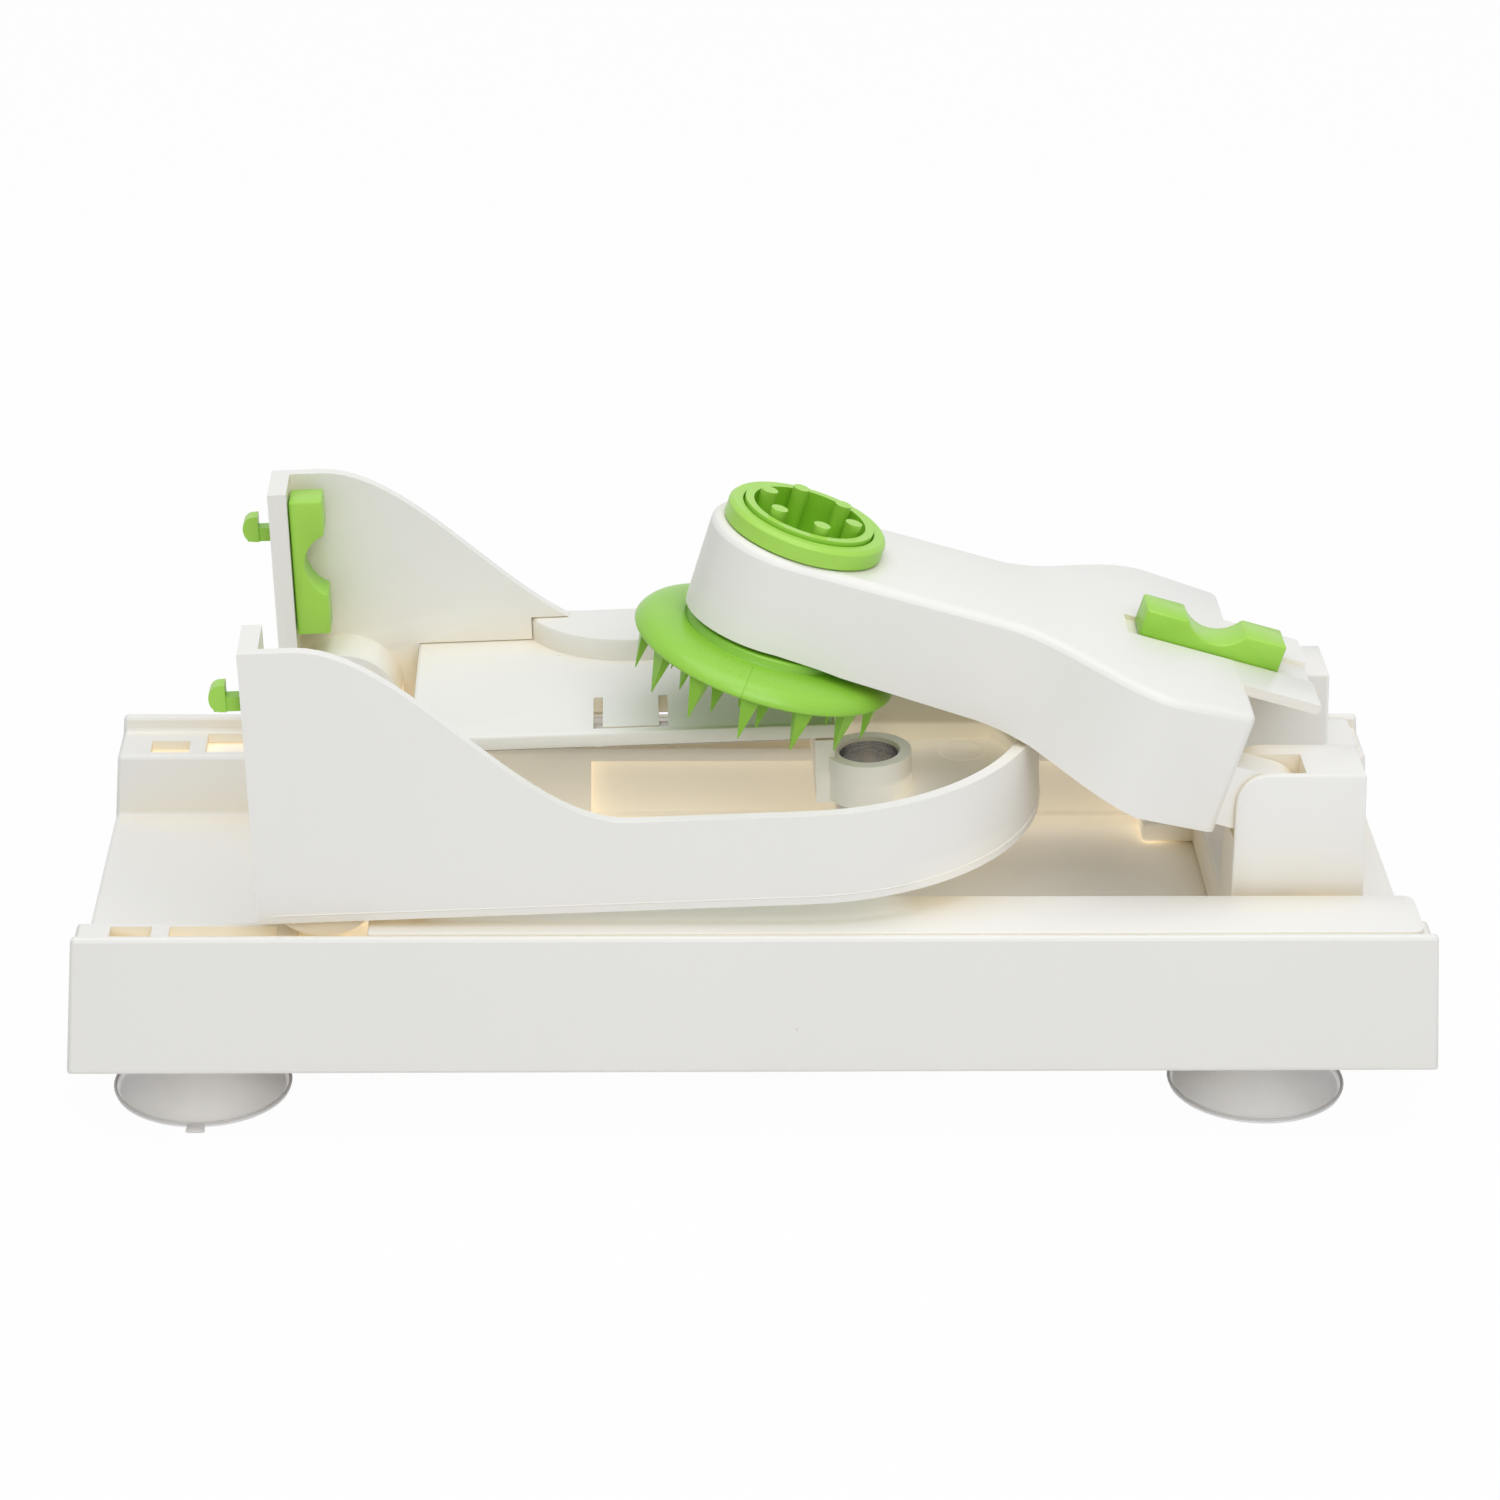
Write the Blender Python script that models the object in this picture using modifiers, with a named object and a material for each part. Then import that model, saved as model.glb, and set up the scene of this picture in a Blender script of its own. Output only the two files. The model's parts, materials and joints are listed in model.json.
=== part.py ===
"""Folding spiralizer: a tray on suction cups, a blade frame that lies folded on it, and a hinged
drive arm with a spiked disc. Metres, +Z up, +X to the hinge end of the drive arm, -Y to the front.
The table is at z = 0 and the tray is centred on the origin."""
import bpy
import bmesh
from math import acos, asin, cos, degrees, pi, radians, sin, sqrt
from mathutils import Matrix, Vector

for item in list(bpy.data.objects):
    bpy.data.objects.remove(item, do_unlink=True)

MM = 0.001

# Clearance between neighbouring pieces, and the step left where two joined faces would lie in one plane
GAP = 0.3 * MM
STEP = 0.1 * MM

# Tray: a floor between two side rails, hollow below
BASE_LENGTH = 310.0 * MM
BASE_WIDTH = 125.4 * MM
BASE_HEIGHT = 34.7 * MM
BASE_LIFT = 19.0 * MM
SHELL = 2.4 * MM
RAIL_WIDTH = 17.0 * MM
RAIL_WALL = 2.0 * MM
LEDGE_DROP = 4.1 * MM
FLOOR_HEIGHT = 14.4 * MM
END_FLARE = 2.5 * MM

# Slots in the left ends of the rails: one catches a foot latch, one takes the foot
CATCH_SLOT_START = 7.5 * MM
CATCH_SLOT_LENGTH = 9.5 * MM
CATCH_SLOT_WIDTH = 6.7 * MM
FOOT_SLOT_START = 21.0 * MM
FOOT_SLOT_LENGTH = 24.6 * MM
FOOT_SLOT_WIDTH = 11.2 * MM
RECESS_LENGTH = 16.0 * MM

# Strips that cap the rails and hold the carriage down
CAP_OVERHANG = 4.7 * MM
CAP_END_SETBACK = 2.5 * MM
CAP_SKIRT_LENGTH = 50.3 * MM
CAP_STOP_LENGTH = 5.5 * MM
CAP_CORNER = 3.0 * MM
CAP_SCREW_COUNT = 3
CAP_SCREW_RADIUS = 1.4 * MM
CAP_SCREW_HEAD = 2.8 * MM
CAP_SCREW_HEAD_HEIGHT = 1.6 * MM

# Suction cups
CUP_RADIUS = 20.85 * MM
CUP_LEFT_INSET = 25.5 * MM
CUP_RIGHT_INSET = 35.0 * MM
CUP_SIDE_INSET = 30.0 * MM
CUP_FLANGE_RADIUS = 8.5 * MM
CUP_STEM_RADIUS = 4.0 * MM
CUP_STEM_LENGTH = 9.0 * MM
CUP_RIM_THICKNESS = 1.0 * MM
CUP_HOLLOW = 8.0 * MM
CUP_TAB_WIDTH = 4.6 * MM
CUP_TAB_LENGTH = 3.2 * MM

# Blade frame: an arch-ended rim with two tall wings, folded flat about its foot pivot
FRAME_WIDTH = 113.6 * MM
FRAME_WALL = 3.0 * MM
FRAME_FLOOR = 2.3 * MM
FLOOR_LEDGE = 0.6 * MM
RIM_HEIGHT = 22.0 * MM
WING_HEIGHT = 66.5 * MM
WING_CURVE_START = -3.0 * MM
WING_CURVE_END = 70.0 * MM
FRAME_PIVOT_INSET = 56.5 * MM
FRAME_DROP = 9.85 * MM
ARCH_CENTRE = 110.2 * MM
FRAME_TILT = radians(2.23)
FOOT_BACK = 15.0 * MM
FOOT_THICKNESS = 4.5 * MM
FOOT_WIDTH = 16.9 * MM
FRAME_BOSS_RADIUS = 14.1 * MM
FRAME_PIN_RADIUS = 2.5 * MM
PIN_HEAD_RADIUS = 4.2 * MM
PIN_HEAD_THICKNESS = 1.4 * MM
POST_RADIUS = 9.0 * MM
POST_THICKNESS = 3.4 * MM
CROSSBAR_WIDTH = 4.6 * MM
ARCH_FLOOR_START = 5.4 * MM
DECK_SETBACK = 26.3 * MM

# Blade cassette that slides into the back of the frame
CASSETTE_LENGTH = 100.5 * MM
CASSETTE_THICKNESS = 3.8 * MM
CASSETTE_SINK = 1.5 * MM
CASSETTE_FRONT = 3.4 * MM
GRIP_CENTRE = 53.6 * MM
GRIP_RADIUS = 28.5 * MM
GRIP_RISE = 5.8 * MM
GRIP_REACH = 10.3 * MM
GRIP_LIP = 2.2 * MM
TAB_CENTRE = 52.2 * MM
TAB_WIDTH = 13.3 * MM
TAB_LENGTH = 17.5 * MM
TAB_SLIT = 2.2 * MM
TAB_SETBACK = 3.2 * MM
BLADE_LENGTH = 84.0 * MM
BLADE_WIDTH = 12.0 * MM
BLADE_THICKNESS = 0.8 * MM
BLADE_EDGE = 2.4 * MM
BLADE_SETBACK = 2.6 * MM
RIVET_RADIUS = 1.6 * MM
RIVET_COUNT = 3

# Corer ring and its steel tube
CORER_RADIUS = 10.2 * MM
CORER_BORE = 7.4 * MM
CORER_HEIGHT = 11.0 * MM
CORER_RISE = 2.2 * MM
CORER_LIP = 4.5 * MM
CORER_TUBE_RADIUS = 8.2 * MM
CORER_TUBE_WALL = 0.6 * MM
CORER_TUBE_REACH = 7.0 * MM

# Foot latches, one on each foot plate
LATCH_LENGTH = 36.0 * MM
LATCH_WIDTH = 10.4 * MM
LATCH_HEIGHT = 8.0 * MM
LATCH_TOP_INSET = 1.2 * MM
LATCH_SCOOP_RADIUS = 8.2 * MM
LATCH_SCOOP_DEPTH = 5.2 * MM
LATCH_TRAVEL = 2.5 * MM
LATCH_FLANGE = 1.4 * MM
HOOK_HEIGHT = 43.0 * MM
HOOK_INSET = 5.9 * MM
HOOK_STEM = 3.4 * MM
HOOK_REACH = 7.4 * MM
HOOK_HEAD = 3.8 * MM
HOOK_BARB = 3.0 * MM

# Carriage at the hinge end
CARRIAGE_END_INSET = 12.8 * MM
CARRIAGE_LENGTH = 31.6 * MM
CARRIAGE_HALF_WIDTH = 38.2 * MM
CARRIAGE_BED = 26.0 * MM
EAR_INNER = 20.2 * MM
EAR_DRAFT = 1.9 * MM
EAR_CORNER = 7.5 * MM
EAR_HEIGHT = 63.7 * MM
ARM_PIVOT_HEIGHT = 55.0 * MM
ARM_PIVOT_SETBACK = 7.9 * MM
LUG_RADIUS = 7.5 * MM
LUG_WIDTH = 9.9 * MM
LUG_OUTER = 36.4 * MM
ARM_PIN_RADIUS = 2.5 * MM
RUNNER_LENGTH = 18.0 * MM
RUNNER_WIDTH = 12.4 * MM
RUNNER_HEIGHT = 5.6 * MM
TONGUE_LENGTH = 16.0 * MM
TONGUE_HEIGHT = 4.2 * MM

# Drive arm, in its own frame: origin on its hinge axis, -X to the disc
ARM_TILT = radians(16.1)
ARM_REACH = 117.6 * MM
ARM_TOP = 21.0 * MM
ARM_WALL = 2.5 * MM
ARM_ROOF = 3.0 * MM
ARM_END = 10.2 * MM
ARM_HEAD_RADIUS = 19.7 * MM
ARM_HEAD_OFFSET = 1.8 * MM
ARM_NECK_END = 49.0 * MM
ARM_WIDE_START = 88.0 * MM
ARM_WIDE = 40.3 * MM
ARM_TAIL_WIDTH = 37.1 * MM
ARM_HEAD_DEPTH = 24.5 * MM
ARM_MID_DEPTH = 26.3 * MM
ARM_MID_AT = 62.0 * MM
ARM_TAIL_DEPTH = 30.6 * MM
ARM_LIP_LENGTH = 18.0 * MM
ARM_LIP_HALF_WIDTH = 19.6 * MM
ARM_LIP_THICKNESS = 2.0 * MM
ARM_EDGE = 2.0 * MM
ARM_RIB = 1.8 * MM
ARM_RIB_COUNT = 3

# Thumb slide on the arm
SLIDE_LENGTH = 34.4 * MM
SLIDE_WIDTH = 10.4 * MM
SLIDE_HEIGHT = 6.5 * MM
SLIDE_OVERHANG = 9.4 * MM
SLIDE_SCOOP_RADIUS = 8.5 * MM
SLIDE_SCOOP_DEPTH = 4.0 * MM
SLIDE_TRAVEL = 2.5 * MM
SLIDE_RECESS = 1.2 * MM
SLIDE_STEM_LENGTH = 8.0 * MM
SLIDE_STEM_WIDTH = 3.0 * MM
SLIDE_FOOT_WIDTH = 7.0 * MM
SLIDE_FOOT_THICKNESS = 1.4 * MM

# Collar, drive socket and spiked disc, around the disc axis
COLLAR_RADIUS = 19.0 * MM
COLLAR_HEIGHT = 5.0 * MM
COLLAR_SLEEVE = 1.5 * MM
SOCKET_RADIUS = 15.5 * MM
SOCKET_WALL = 2.0 * MM
SOCKET_PROUD = 5.9 * MM
SOCKET_FLOOR = 6.0 * MM
PIN_COUNT = 6
PIN_CIRCLE = 10.6 * MM
DRIVE_PIN_RADIUS = 2.0 * MM
DRIVE_PIN_TOP = 7.5 * MM
PIN_PHASE = radians(-19.0)
DISC_RADIUS = 33.3 * MM
DISC_THICKNESS = 4.6 * MM
DISC_DEPTH = 25.8 * MM
DISC_SLOPE = 2.8 * MM
DISC_EDGE = 1.3 * MM
HUB_RADIUS = 20.1 * MM
SPINDLE_RADIUS = 6.0 * MM
SPIKE_LENGTH = 11.4 * MM
SPIKE_BASE = 2.6 * MM
SPIKE_TIP = 0.25 * MM
SPIKE_RINGS = 3
SPIKE_EDGE = 3.8 * MM
SPIKE_RING_STEP = 9.5 * MM
SPIKE_PITCH = 12.4 * MM
DISC_SCREW_RADIUS = 1.8 * MM
DISC_SCREW_HEAD = 3.6 * MM
DISC_SCREW_LENGTH = 14.0 * MM
WASHER_RADIUS = 5.4 * MM
WASHER_THICKNESS = 0.8 * MM

# Places that follow from the sizes
HALF_LENGTH = BASE_LENGTH / 2
HALF_WIDTH = BASE_WIDTH / 2
LEDGE_Z = BASE_LIFT + BASE_HEIGHT - LEDGE_DROP
FLOOR_Z = BASE_LIFT + FLOOR_HEIGHT
RAIL_INNER = HALF_WIDTH - RAIL_WIDTH
FRAME_PIVOT_X = FRAME_PIVOT_INSET - HALF_LENGTH
FRAME_PIVOT_Z = LEDGE_Z + GAP + FOOT_BACK
RECESS_END = FRAME_PIVOT_X + FRAME_DROP + GAP
FRAME_HALF = FRAME_WIDTH / 2
FRAME_INNER = FRAME_HALF - FRAME_WALL
RIM_TOP = RIM_HEIGHT - FRAME_DROP
WING_TOP = WING_HEIGHT - FRAME_DROP
FOOT_INNER = FRAME_HALF - FOOT_WIDTH
POST_OUTER = FOOT_INNER - GAP
CARRIAGE_X1 = HALF_LENGTH - CARRIAGE_END_INSET
CARRIAGE_X0 = CARRIAGE_X1 - CARRIAGE_LENGTH
ARM_PIVOT_X = CARRIAGE_X0 + ARM_PIVOT_SETBACK
ARM_PIVOT_Z = BASE_LIFT + ARM_PIVOT_HEIGHT
EAR_TOP = BASE_LIFT + EAR_HEIGHT
CORER_U = ARM_REACH + ARM_PIVOT_Z - FRAME_PIVOT_Z
CORER_FOOT = CORER_RISE - CORER_HEIGHT
CASSETTE_TOP = RIM_TOP - CASSETTE_SINK
CASSETTE_BOTTOM = CASSETTE_TOP - CASSETTE_THICKNESS
CASSETTE_END = CORER_U - CORER_RADIUS + CROSSBAR_WIDTH / 2
CASSETTE_START = CASSETTE_END - CASSETTE_LENGTH

parts = bpy.data.collections.new("spiralizer")
cutters = bpy.data.collections.new("cutters")
bpy.context.scene.collection.children.link(parts)
bpy.context.scene.collection.children.link(cutters)


def material(name, colour, roughness, metallic=0.0, alpha=1.0):
    """A plain Principled material."""
    made = bpy.data.materials.new(name)
    made.use_nodes = True
    shader = made.node_tree.nodes["Principled BSDF"]
    shader.inputs["Base Color"].default_value = (*colour, 1.0)
    shader.inputs["Roughness"].default_value = roughness
    shader.inputs["Metallic"].default_value = metallic
    shader.inputs["Alpha"].default_value = alpha
    return made


IVORY = material("ivory_plastic", (0.86, 0.84, 0.79), 0.28)
GREEN = material("green_plastic", (0.25, 0.62, 0.04), 0.30)
STEEL = material("steel", (0.62, 0.62, 0.64), 0.25, 1.0)
CLEAR = material("clear_vinyl", (0.80, 0.82, 0.86), 0.15, 0.0, 0.55)


def axis_empty(name, location, turn=0.0, parent=None):
    """An empty on a joint axis, turned about Y."""
    made = bpy.data.objects.new(name, None)
    made.empty_display_size = 0.01
    made.location = location
    made.rotation_euler = (0, turn, 0)
    made.parent = parent
    parts.objects.link(made)
    return made


def settle(obj, parent, location, turn):
    obj.parent = parent
    obj.location = location
    obj.rotation_euler = turn
    parts.objects.link(obj)
    return obj


def finish(obj, surface):
    obj.data.materials.clear()
    obj.data.materials.append(surface)
    obj.data.shade_smooth()
    obj.data.set_sharp_from_angle(angle=radians(32))
    return obj


def from_bmesh(name, mesh, surface, parent, location, turn):
    data = bpy.data.meshes.new(name)
    mesh.to_mesh(data)
    mesh.free()
    made = settle(bpy.data.objects.new(name, data), parent, location, turn)
    return finish(made, surface)


def box(name, low, high, surface=IVORY, parent=None):
    """A block between two corners, with its origin at its centre."""
    low, high = Vector(low), Vector(high)
    mesh = bmesh.new()
    bmesh.ops.create_cube(mesh, size=1.0, matrix=Matrix.Diagonal((*(high - low), 1.0)))
    return from_bmesh(name, mesh, surface, parent, (low + high) / 2, (0, 0, 0))


def rod(name, radius, start, end, surface=IVORY, parent=None, sides=32, tip=None):
    """A round bar or cone between two points on a line along one of the axes."""
    start, end = Vector(start), Vector(end)
    span = end - start
    mesh = bmesh.new()
    bmesh.ops.create_cone(mesh, cap_ends=True, segments=sides, radius1=radius,
                          radius2=radius if tip is None else tip, depth=span.length)
    turn = span.to_track_quat("Z", "Y").to_euler()
    return from_bmesh(name, mesh, surface, parent, (start + end) / 2, turn)


def prism(name, outline, thickness, surface=IVORY, parent=None, location=(0, 0, 0), turn=(0, 0, 0)):
    """A flat outline, drawn as a filled curve, with half its thickness to each side."""
    curve = bpy.data.curves.new(name, "CURVE")
    curve.dimensions = "2D"
    curve.fill_mode = "BOTH"
    curve.extrude = thickness / 2
    spline = curve.splines.new("POLY")
    spline.points.add(len(outline) - 1)
    for point, (x, y) in zip(spline.points, outline):
        point.co = (x, y, 0, 1)
    spline.use_cyclic_u = True
    drawn = settle(bpy.data.objects.new(name + "_curve", curve), parent, location, turn)
    bpy.context.view_layer.update()
    graph = bpy.context.evaluated_depsgraph_get()
    data = bpy.data.meshes.new_from_object(drawn.evaluated_get(graph))
    mesh = bmesh.new()
    mesh.from_mesh(data)
    bmesh.ops.remove_doubles(mesh, verts=mesh.verts, dist=0.000001)
    bmesh.ops.dissolve_limit(mesh, angle_limit=radians(0.5), verts=mesh.verts, edges=mesh.edges)
    bmesh.ops.recalc_face_normals(mesh, faces=mesh.faces)
    bpy.data.objects.remove(drawn, do_unlink=True)
    return from_bmesh(name, mesh, surface, parent, location, turn)


def turned(name, profile, surface=IVORY, parent=None, location=(0, 0, 0), turn=(0, 0, 0),
           steps=48, ring=False):
    """A profile of (radius, height), down the outer side, turned about the local Z axis."""
    data = bpy.data.meshes.new(name)
    count = len(profile)
    edges = [(i, i + 1) for i in range(count - 1)]
    if ring:
        edges.append((count - 1, 0))
    data.from_pydata([(r, 0, z) for r, z in profile], edges, [])
    made = settle(bpy.data.objects.new(name, data), parent, location, turn)
    data.materials.append(surface)
    screw = made.modifiers.new("turn", "SCREW")
    screw.steps = steps
    screw.render_steps = steps
    screw.use_merge_vertices = True
    screw.merge_threshold = 0.00001
    screw.use_smooth_shade = False
    return made


def soften(obj, width, segments=2, angle=40):
    """Rounds an object's sharp edges."""
    bevel = obj.modifiers.new("edge", "BEVEL")
    bevel.width = width
    bevel.segments = segments
    bevel.limit_method = "ANGLE"
    bevel.angle_limit = radians(angle)
    return obj


def boolean(obj, tools, operation):
    for tool in tools:
        parts.objects.unlink(tool)
        cutters.objects.link(tool)
        tool.hide_render = True
        tool.display_type = "WIRE"
        cut = obj.modifiers.new(operation.lower() + "_" + tool.name, "BOOLEAN")
        cut.operation = operation
        cut.solver = "EXACT"
        cut.object = tool
    return obj


def join(obj, *tools):
    return boolean(obj, tools, "UNION")


def carve(obj, *tools):
    return boolean(obj, tools, "DIFFERENCE")


def arc(cx, cy, radius, start, end, steps):
    """Points of an arc, both ends included, angles in degrees."""
    turns = [radians(start + (end - start) * i / steps) for i in range(steps + 1)]
    return [(cx + radius * cos(t), cy + radius * sin(t)) for t in turns]


def smooth(t):
    """Runs from 0 to 1 with a level start and end."""
    t = min(max(t, 0.0), 1.0)
    return t * t * (3 - 2 * t)


UPRIGHT = (pi / 2, 0, 0)
LENGTHWISE = (pi / 2, 0, pi / 2)
SIDES = (("front", -1), ("back", 1))


def side_box(name, x0, x1, inner, outer, z0, z1, side, surface=IVORY, parent=None):
    """A block on one side of the tray, between two distances from the centre line."""
    y0, y1 = sorted((side * inner, side * outer))
    return box(name, (x0, y0, z0), (x1, y1, z1), surface, parent)


# Tray
half = HALF_WIDTH
section = [(-half, 0), (-half, BASE_HEIGHT), (SHELL - half, BASE_HEIGHT),
           (SHELL - half, BASE_HEIGHT - LEDGE_DROP), (-RAIL_INNER, BASE_HEIGHT - LEDGE_DROP),
           (-RAIL_INNER, FLOOR_HEIGHT)]
section += [(-y, z) for y, z in reversed(section)]
tray = prism("base_tray", section, BASE_LENGTH, IVORY, None, (0, 0, BASE_LIFT), LENGTHWISE)
for vertex in tray.data.vertices:
    rise = vertex.co.y / BASE_HEIGHT
    vertex.co.z *= 1 + END_FLARE / HALF_LENGTH * (1 - rise)
soften(tray, 0.9 * MM)

rail_room = HALF_WIDTH - SHELL
hollow = [(-rail_room, -SHELL), (-rail_room, BASE_HEIGHT - LEDGE_DROP - SHELL),
          (-RAIL_INNER - RAIL_WALL, BASE_HEIGHT - LEDGE_DROP - SHELL),
          (-RAIL_INNER - RAIL_WALL, FLOOR_HEIGHT - SHELL)]
hollow += [(-y, z) for y, z in reversed(hollow)]
carve(tray, prism("tray_hollow", hollow, BASE_LENGTH - 2 * SHELL, IVORY, None,
                  (0, 0, BASE_LIFT), LENGTHWISE))
slot_inner = RAIL_INNER + RAIL_WALL + GAP
for label, side in SIDES:
    catch_x = CATCH_SLOT_START - HALF_LENGTH
    foot_x = FOOT_SLOT_START - HALF_LENGTH
    carve(tray,
          side_box("catch_slot_" + label, catch_x, catch_x + CATCH_SLOT_LENGTH, slot_inner,
                   slot_inner + CATCH_SLOT_WIDTH, LEDGE_Z - 2 * SHELL, LEDGE_Z + SHELL, side),
          side_box("foot_slot_" + label, foot_x, foot_x + FOOT_SLOT_LENGTH, slot_inner,
                   slot_inner + FOOT_SLOT_WIDTH, LEDGE_Z - 2 * SHELL, LEDGE_Z + SHELL, side),
          side_box("foot_recess_" + label, RECESS_END - RECESS_LENGTH, RECESS_END, slot_inner,
                   HALF_WIDTH - SHELL - GAP, LEDGE_Z - 2 * SHELL, LEDGE_Z + SHELL, side))

# Hinge posts of the blade frame, standing on the tray's floor
for label, side in SIDES:
    post_y = side * (POST_OUTER - POST_THICKNESS / 2)
    outline = [(-POST_RADIUS, FLOOR_Z - SHELL / 2 - FRAME_PIVOT_Z)]
    outline += arc(0, 0, POST_RADIUS, 180, 0, 16)
    outline += [(POST_RADIUS, FLOOR_Z - SHELL / 2 - FRAME_PIVOT_Z)]
    join(tray, prism("hinge_post_" + label, outline, POST_THICKNESS, IVORY, None,
                     (FRAME_PIVOT_X, post_y, FRAME_PIVOT_Z), UPRIGHT))
for label, side in SIDES:
    carve(tray, rod("post_bore_" + label, FRAME_PIN_RADIUS + GAP,
                    (FRAME_PIVOT_X, side * (POST_OUTER - 2 * POST_THICKNESS), FRAME_PIVOT_Z),
                    (FRAME_PIVOT_X, side * (POST_OUTER + POST_THICKNESS), FRAME_PIVOT_Z), sides=24))

# Suction cups in sockets under the floor
cup_places = []
for end_label, cup_x in (("left", CUP_LEFT_INSET - HALF_LENGTH), ("right", HALF_LENGTH - CUP_RIGHT_INSET)):
    for label, side in SIDES:
        place = (cup_x, side * (HALF_WIDTH - CUP_SIDE_INSET))
        cup_places.append((label + "_" + end_label, place, side))
socket_foot = BASE_LIFT + 1.0 * MM
for label, (x, y), side in cup_places:
    join(tray, rod("cup_socket_" + label, CUP_FLANGE_RADIUS, (x, y, socket_foot),
                   (x, y, FLOOR_Z - SHELL / 2), sides=32))
for label, (x, y), side in cup_places:
    carve(tray, rod("cup_bore_" + label, CUP_STEM_RADIUS + GAP, (x, y, BASE_LIFT - SHELL),
                    (x, y, socket_foot + CUP_STEM_LENGTH), sides=24))
    flange_top = socket_foot - GAP
    flange_foot = flange_top - 4.2 * MM
    profile = [(0, socket_foot + CUP_STEM_LENGTH - GAP),
               (CUP_STEM_RADIUS, socket_foot + CUP_STEM_LENGTH - GAP),
               (CUP_STEM_RADIUS, flange_top), (CUP_FLANGE_RADIUS, flange_top),
               (CUP_FLANGE_RADIUS, flange_foot)]
    reach = CUP_RADIUS - CUP_FLANGE_RADIUS
    for i in range(1, 6):
        t = i / 5
        profile.append((CUP_FLANGE_RADIUS + reach * t,
                        CUP_RIM_THICKNESS + (flange_foot - CUP_RIM_THICKNESS) * (1 - t) ** 1.7))
    profile.append((CUP_RADIUS - 0.2 * MM, 0))
    inner = CUP_RADIUS - 1.4 * MM
    for i in range(5):
        t = i / 5
        profile.append((inner * (1 - t), CUP_HOLLOW * (1 - (1 - t) ** 1.8)))
    profile.append((0, CUP_HOLLOW))
    cup = turned("suction_cup_" + label, profile, CLEAR, None, (x, y, 0), steps=32)
    if label == "front_left":
        join(cup, box("cup_tab", (x - CUP_TAB_WIDTH / 2, y - CUP_RADIUS - CUP_TAB_LENGTH, 0.1 * MM),
                      (x + CUP_TAB_WIDTH / 2, y - CUP_RADIUS + 0.6 * MM, 0.9 * MM), CLEAR))

# Rail caps with a skirt at the left and a stop at the right
cap_x0 = RECESS_END
cap_x1 = HALF_LENGTH - CAP_END_SETBACK
cap_outer = HALF_WIDTH - SHELL - GAP
cap_inner = RAIL_INNER - CAP_OVERHANG
for label, side in SIDES:
    outline = [(cap_x0, cap_outer * side), (cap_x0, cap_inner * side)]
    corner = [(cap_x1 - CAP_CORNER + CAP_CORNER * sin(radians(a)),
               side * (cap_inner + CAP_CORNER - CAP_CORNER * cos(radians(a)))) for a in range(0, 91, 15)]
    outline += corner
    outline += [(cap_x1 - CAP_CORNER + CAP_CORNER * cos(radians(a)),
                 side * (cap_outer - CAP_CORNER + CAP_CORNER * sin(radians(a)))) for a in range(0, 91, 15)]
    cap = prism("rail_cap_" + label, outline, LEDGE_DROP - GAP, IVORY, None,
                (0, 0, LEDGE_Z + GAP + (LEDGE_DROP - GAP) / 2))
    soften(cap, 0.6 * MM, 2)
    skirt_outer = RAIL_INNER - GAP
    skirt_top = LEDGE_Z + LEDGE_DROP / 2
    join(cap,
         side_box("cap_skirt_" + label, cap_x0 + 0.1 * MM, cap_x0 + CAP_SKIRT_LENGTH, cap_inner + 0.05 * MM,
                  skirt_outer, FLOOR_Z + GAP, skirt_top, side),
         side_box("cap_stop_" + label, cap_x1 - CAP_CORNER - CAP_STOP_LENGTH, cap_x1 - CAP_CORNER,
                  cap_inner + 0.05 * MM, skirt_outer, FLOOR_Z + GAP, skirt_top, side))

# Screws that hold the rail caps from below
screw_y = (HALF_WIDTH - SHELL + RAIL_INNER + RAIL_WALL) / 2
screw_step = (cap_x1 - cap_x0) / CAP_SCREW_COUNT
screw_head_top = LEDGE_Z - SHELL - GAP
screw_foot = screw_head_top - CAP_SCREW_HEAD_HEIGHT
screw_top = LEDGE_Z + LEDGE_DROP * 0.7
for label, side in SIDES:
    for number in range(CAP_SCREW_COUNT):
        x, y = cap_x0 + screw_step * (number + 0.5), side * screw_y
        turned(f"rail_cap_screw_{label}_{number + 1}",
               [(0, screw_top), (CAP_SCREW_RADIUS, screw_top), (CAP_SCREW_RADIUS, screw_head_top),
                (CAP_SCREW_HEAD, screw_head_top), (CAP_SCREW_HEAD, screw_foot), (0, screw_foot)],
               STEEL, None, (x, y, 0), steps=16)
        carve(tray, rod(f"cap_screw_hole_{label}_{number}", CAP_SCREW_RADIUS + GAP,
                        (x, y, LEDGE_Z - 2 * SHELL), (x, y, LEDGE_Z + SHELL), sides=16))
        carve(bpy.data.objects["rail_cap_" + label],
              rod(f"cap_pilot_{label}_{number}", CAP_SCREW_RADIUS + GAP, (x, y, LEDGE_Z - SHELL),
                  (x, y, screw_top + GAP), sides=16))

# Blade frame, drawn flat about its pivot and then tipped
frame_axis = axis_empty("frame_axis", (FRAME_PIVOT_X, 0, FRAME_PIVOT_Z), -FRAME_TILT)
ARCH_STEPS = 40


def arch_outline(start, half_width):
    points = [(start, -half_width)]
    points += arc(ARCH_CENTRE, 0, half_width, -90, 90, ARCH_STEPS)
    points += [(start, half_width)]
    return points


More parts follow.
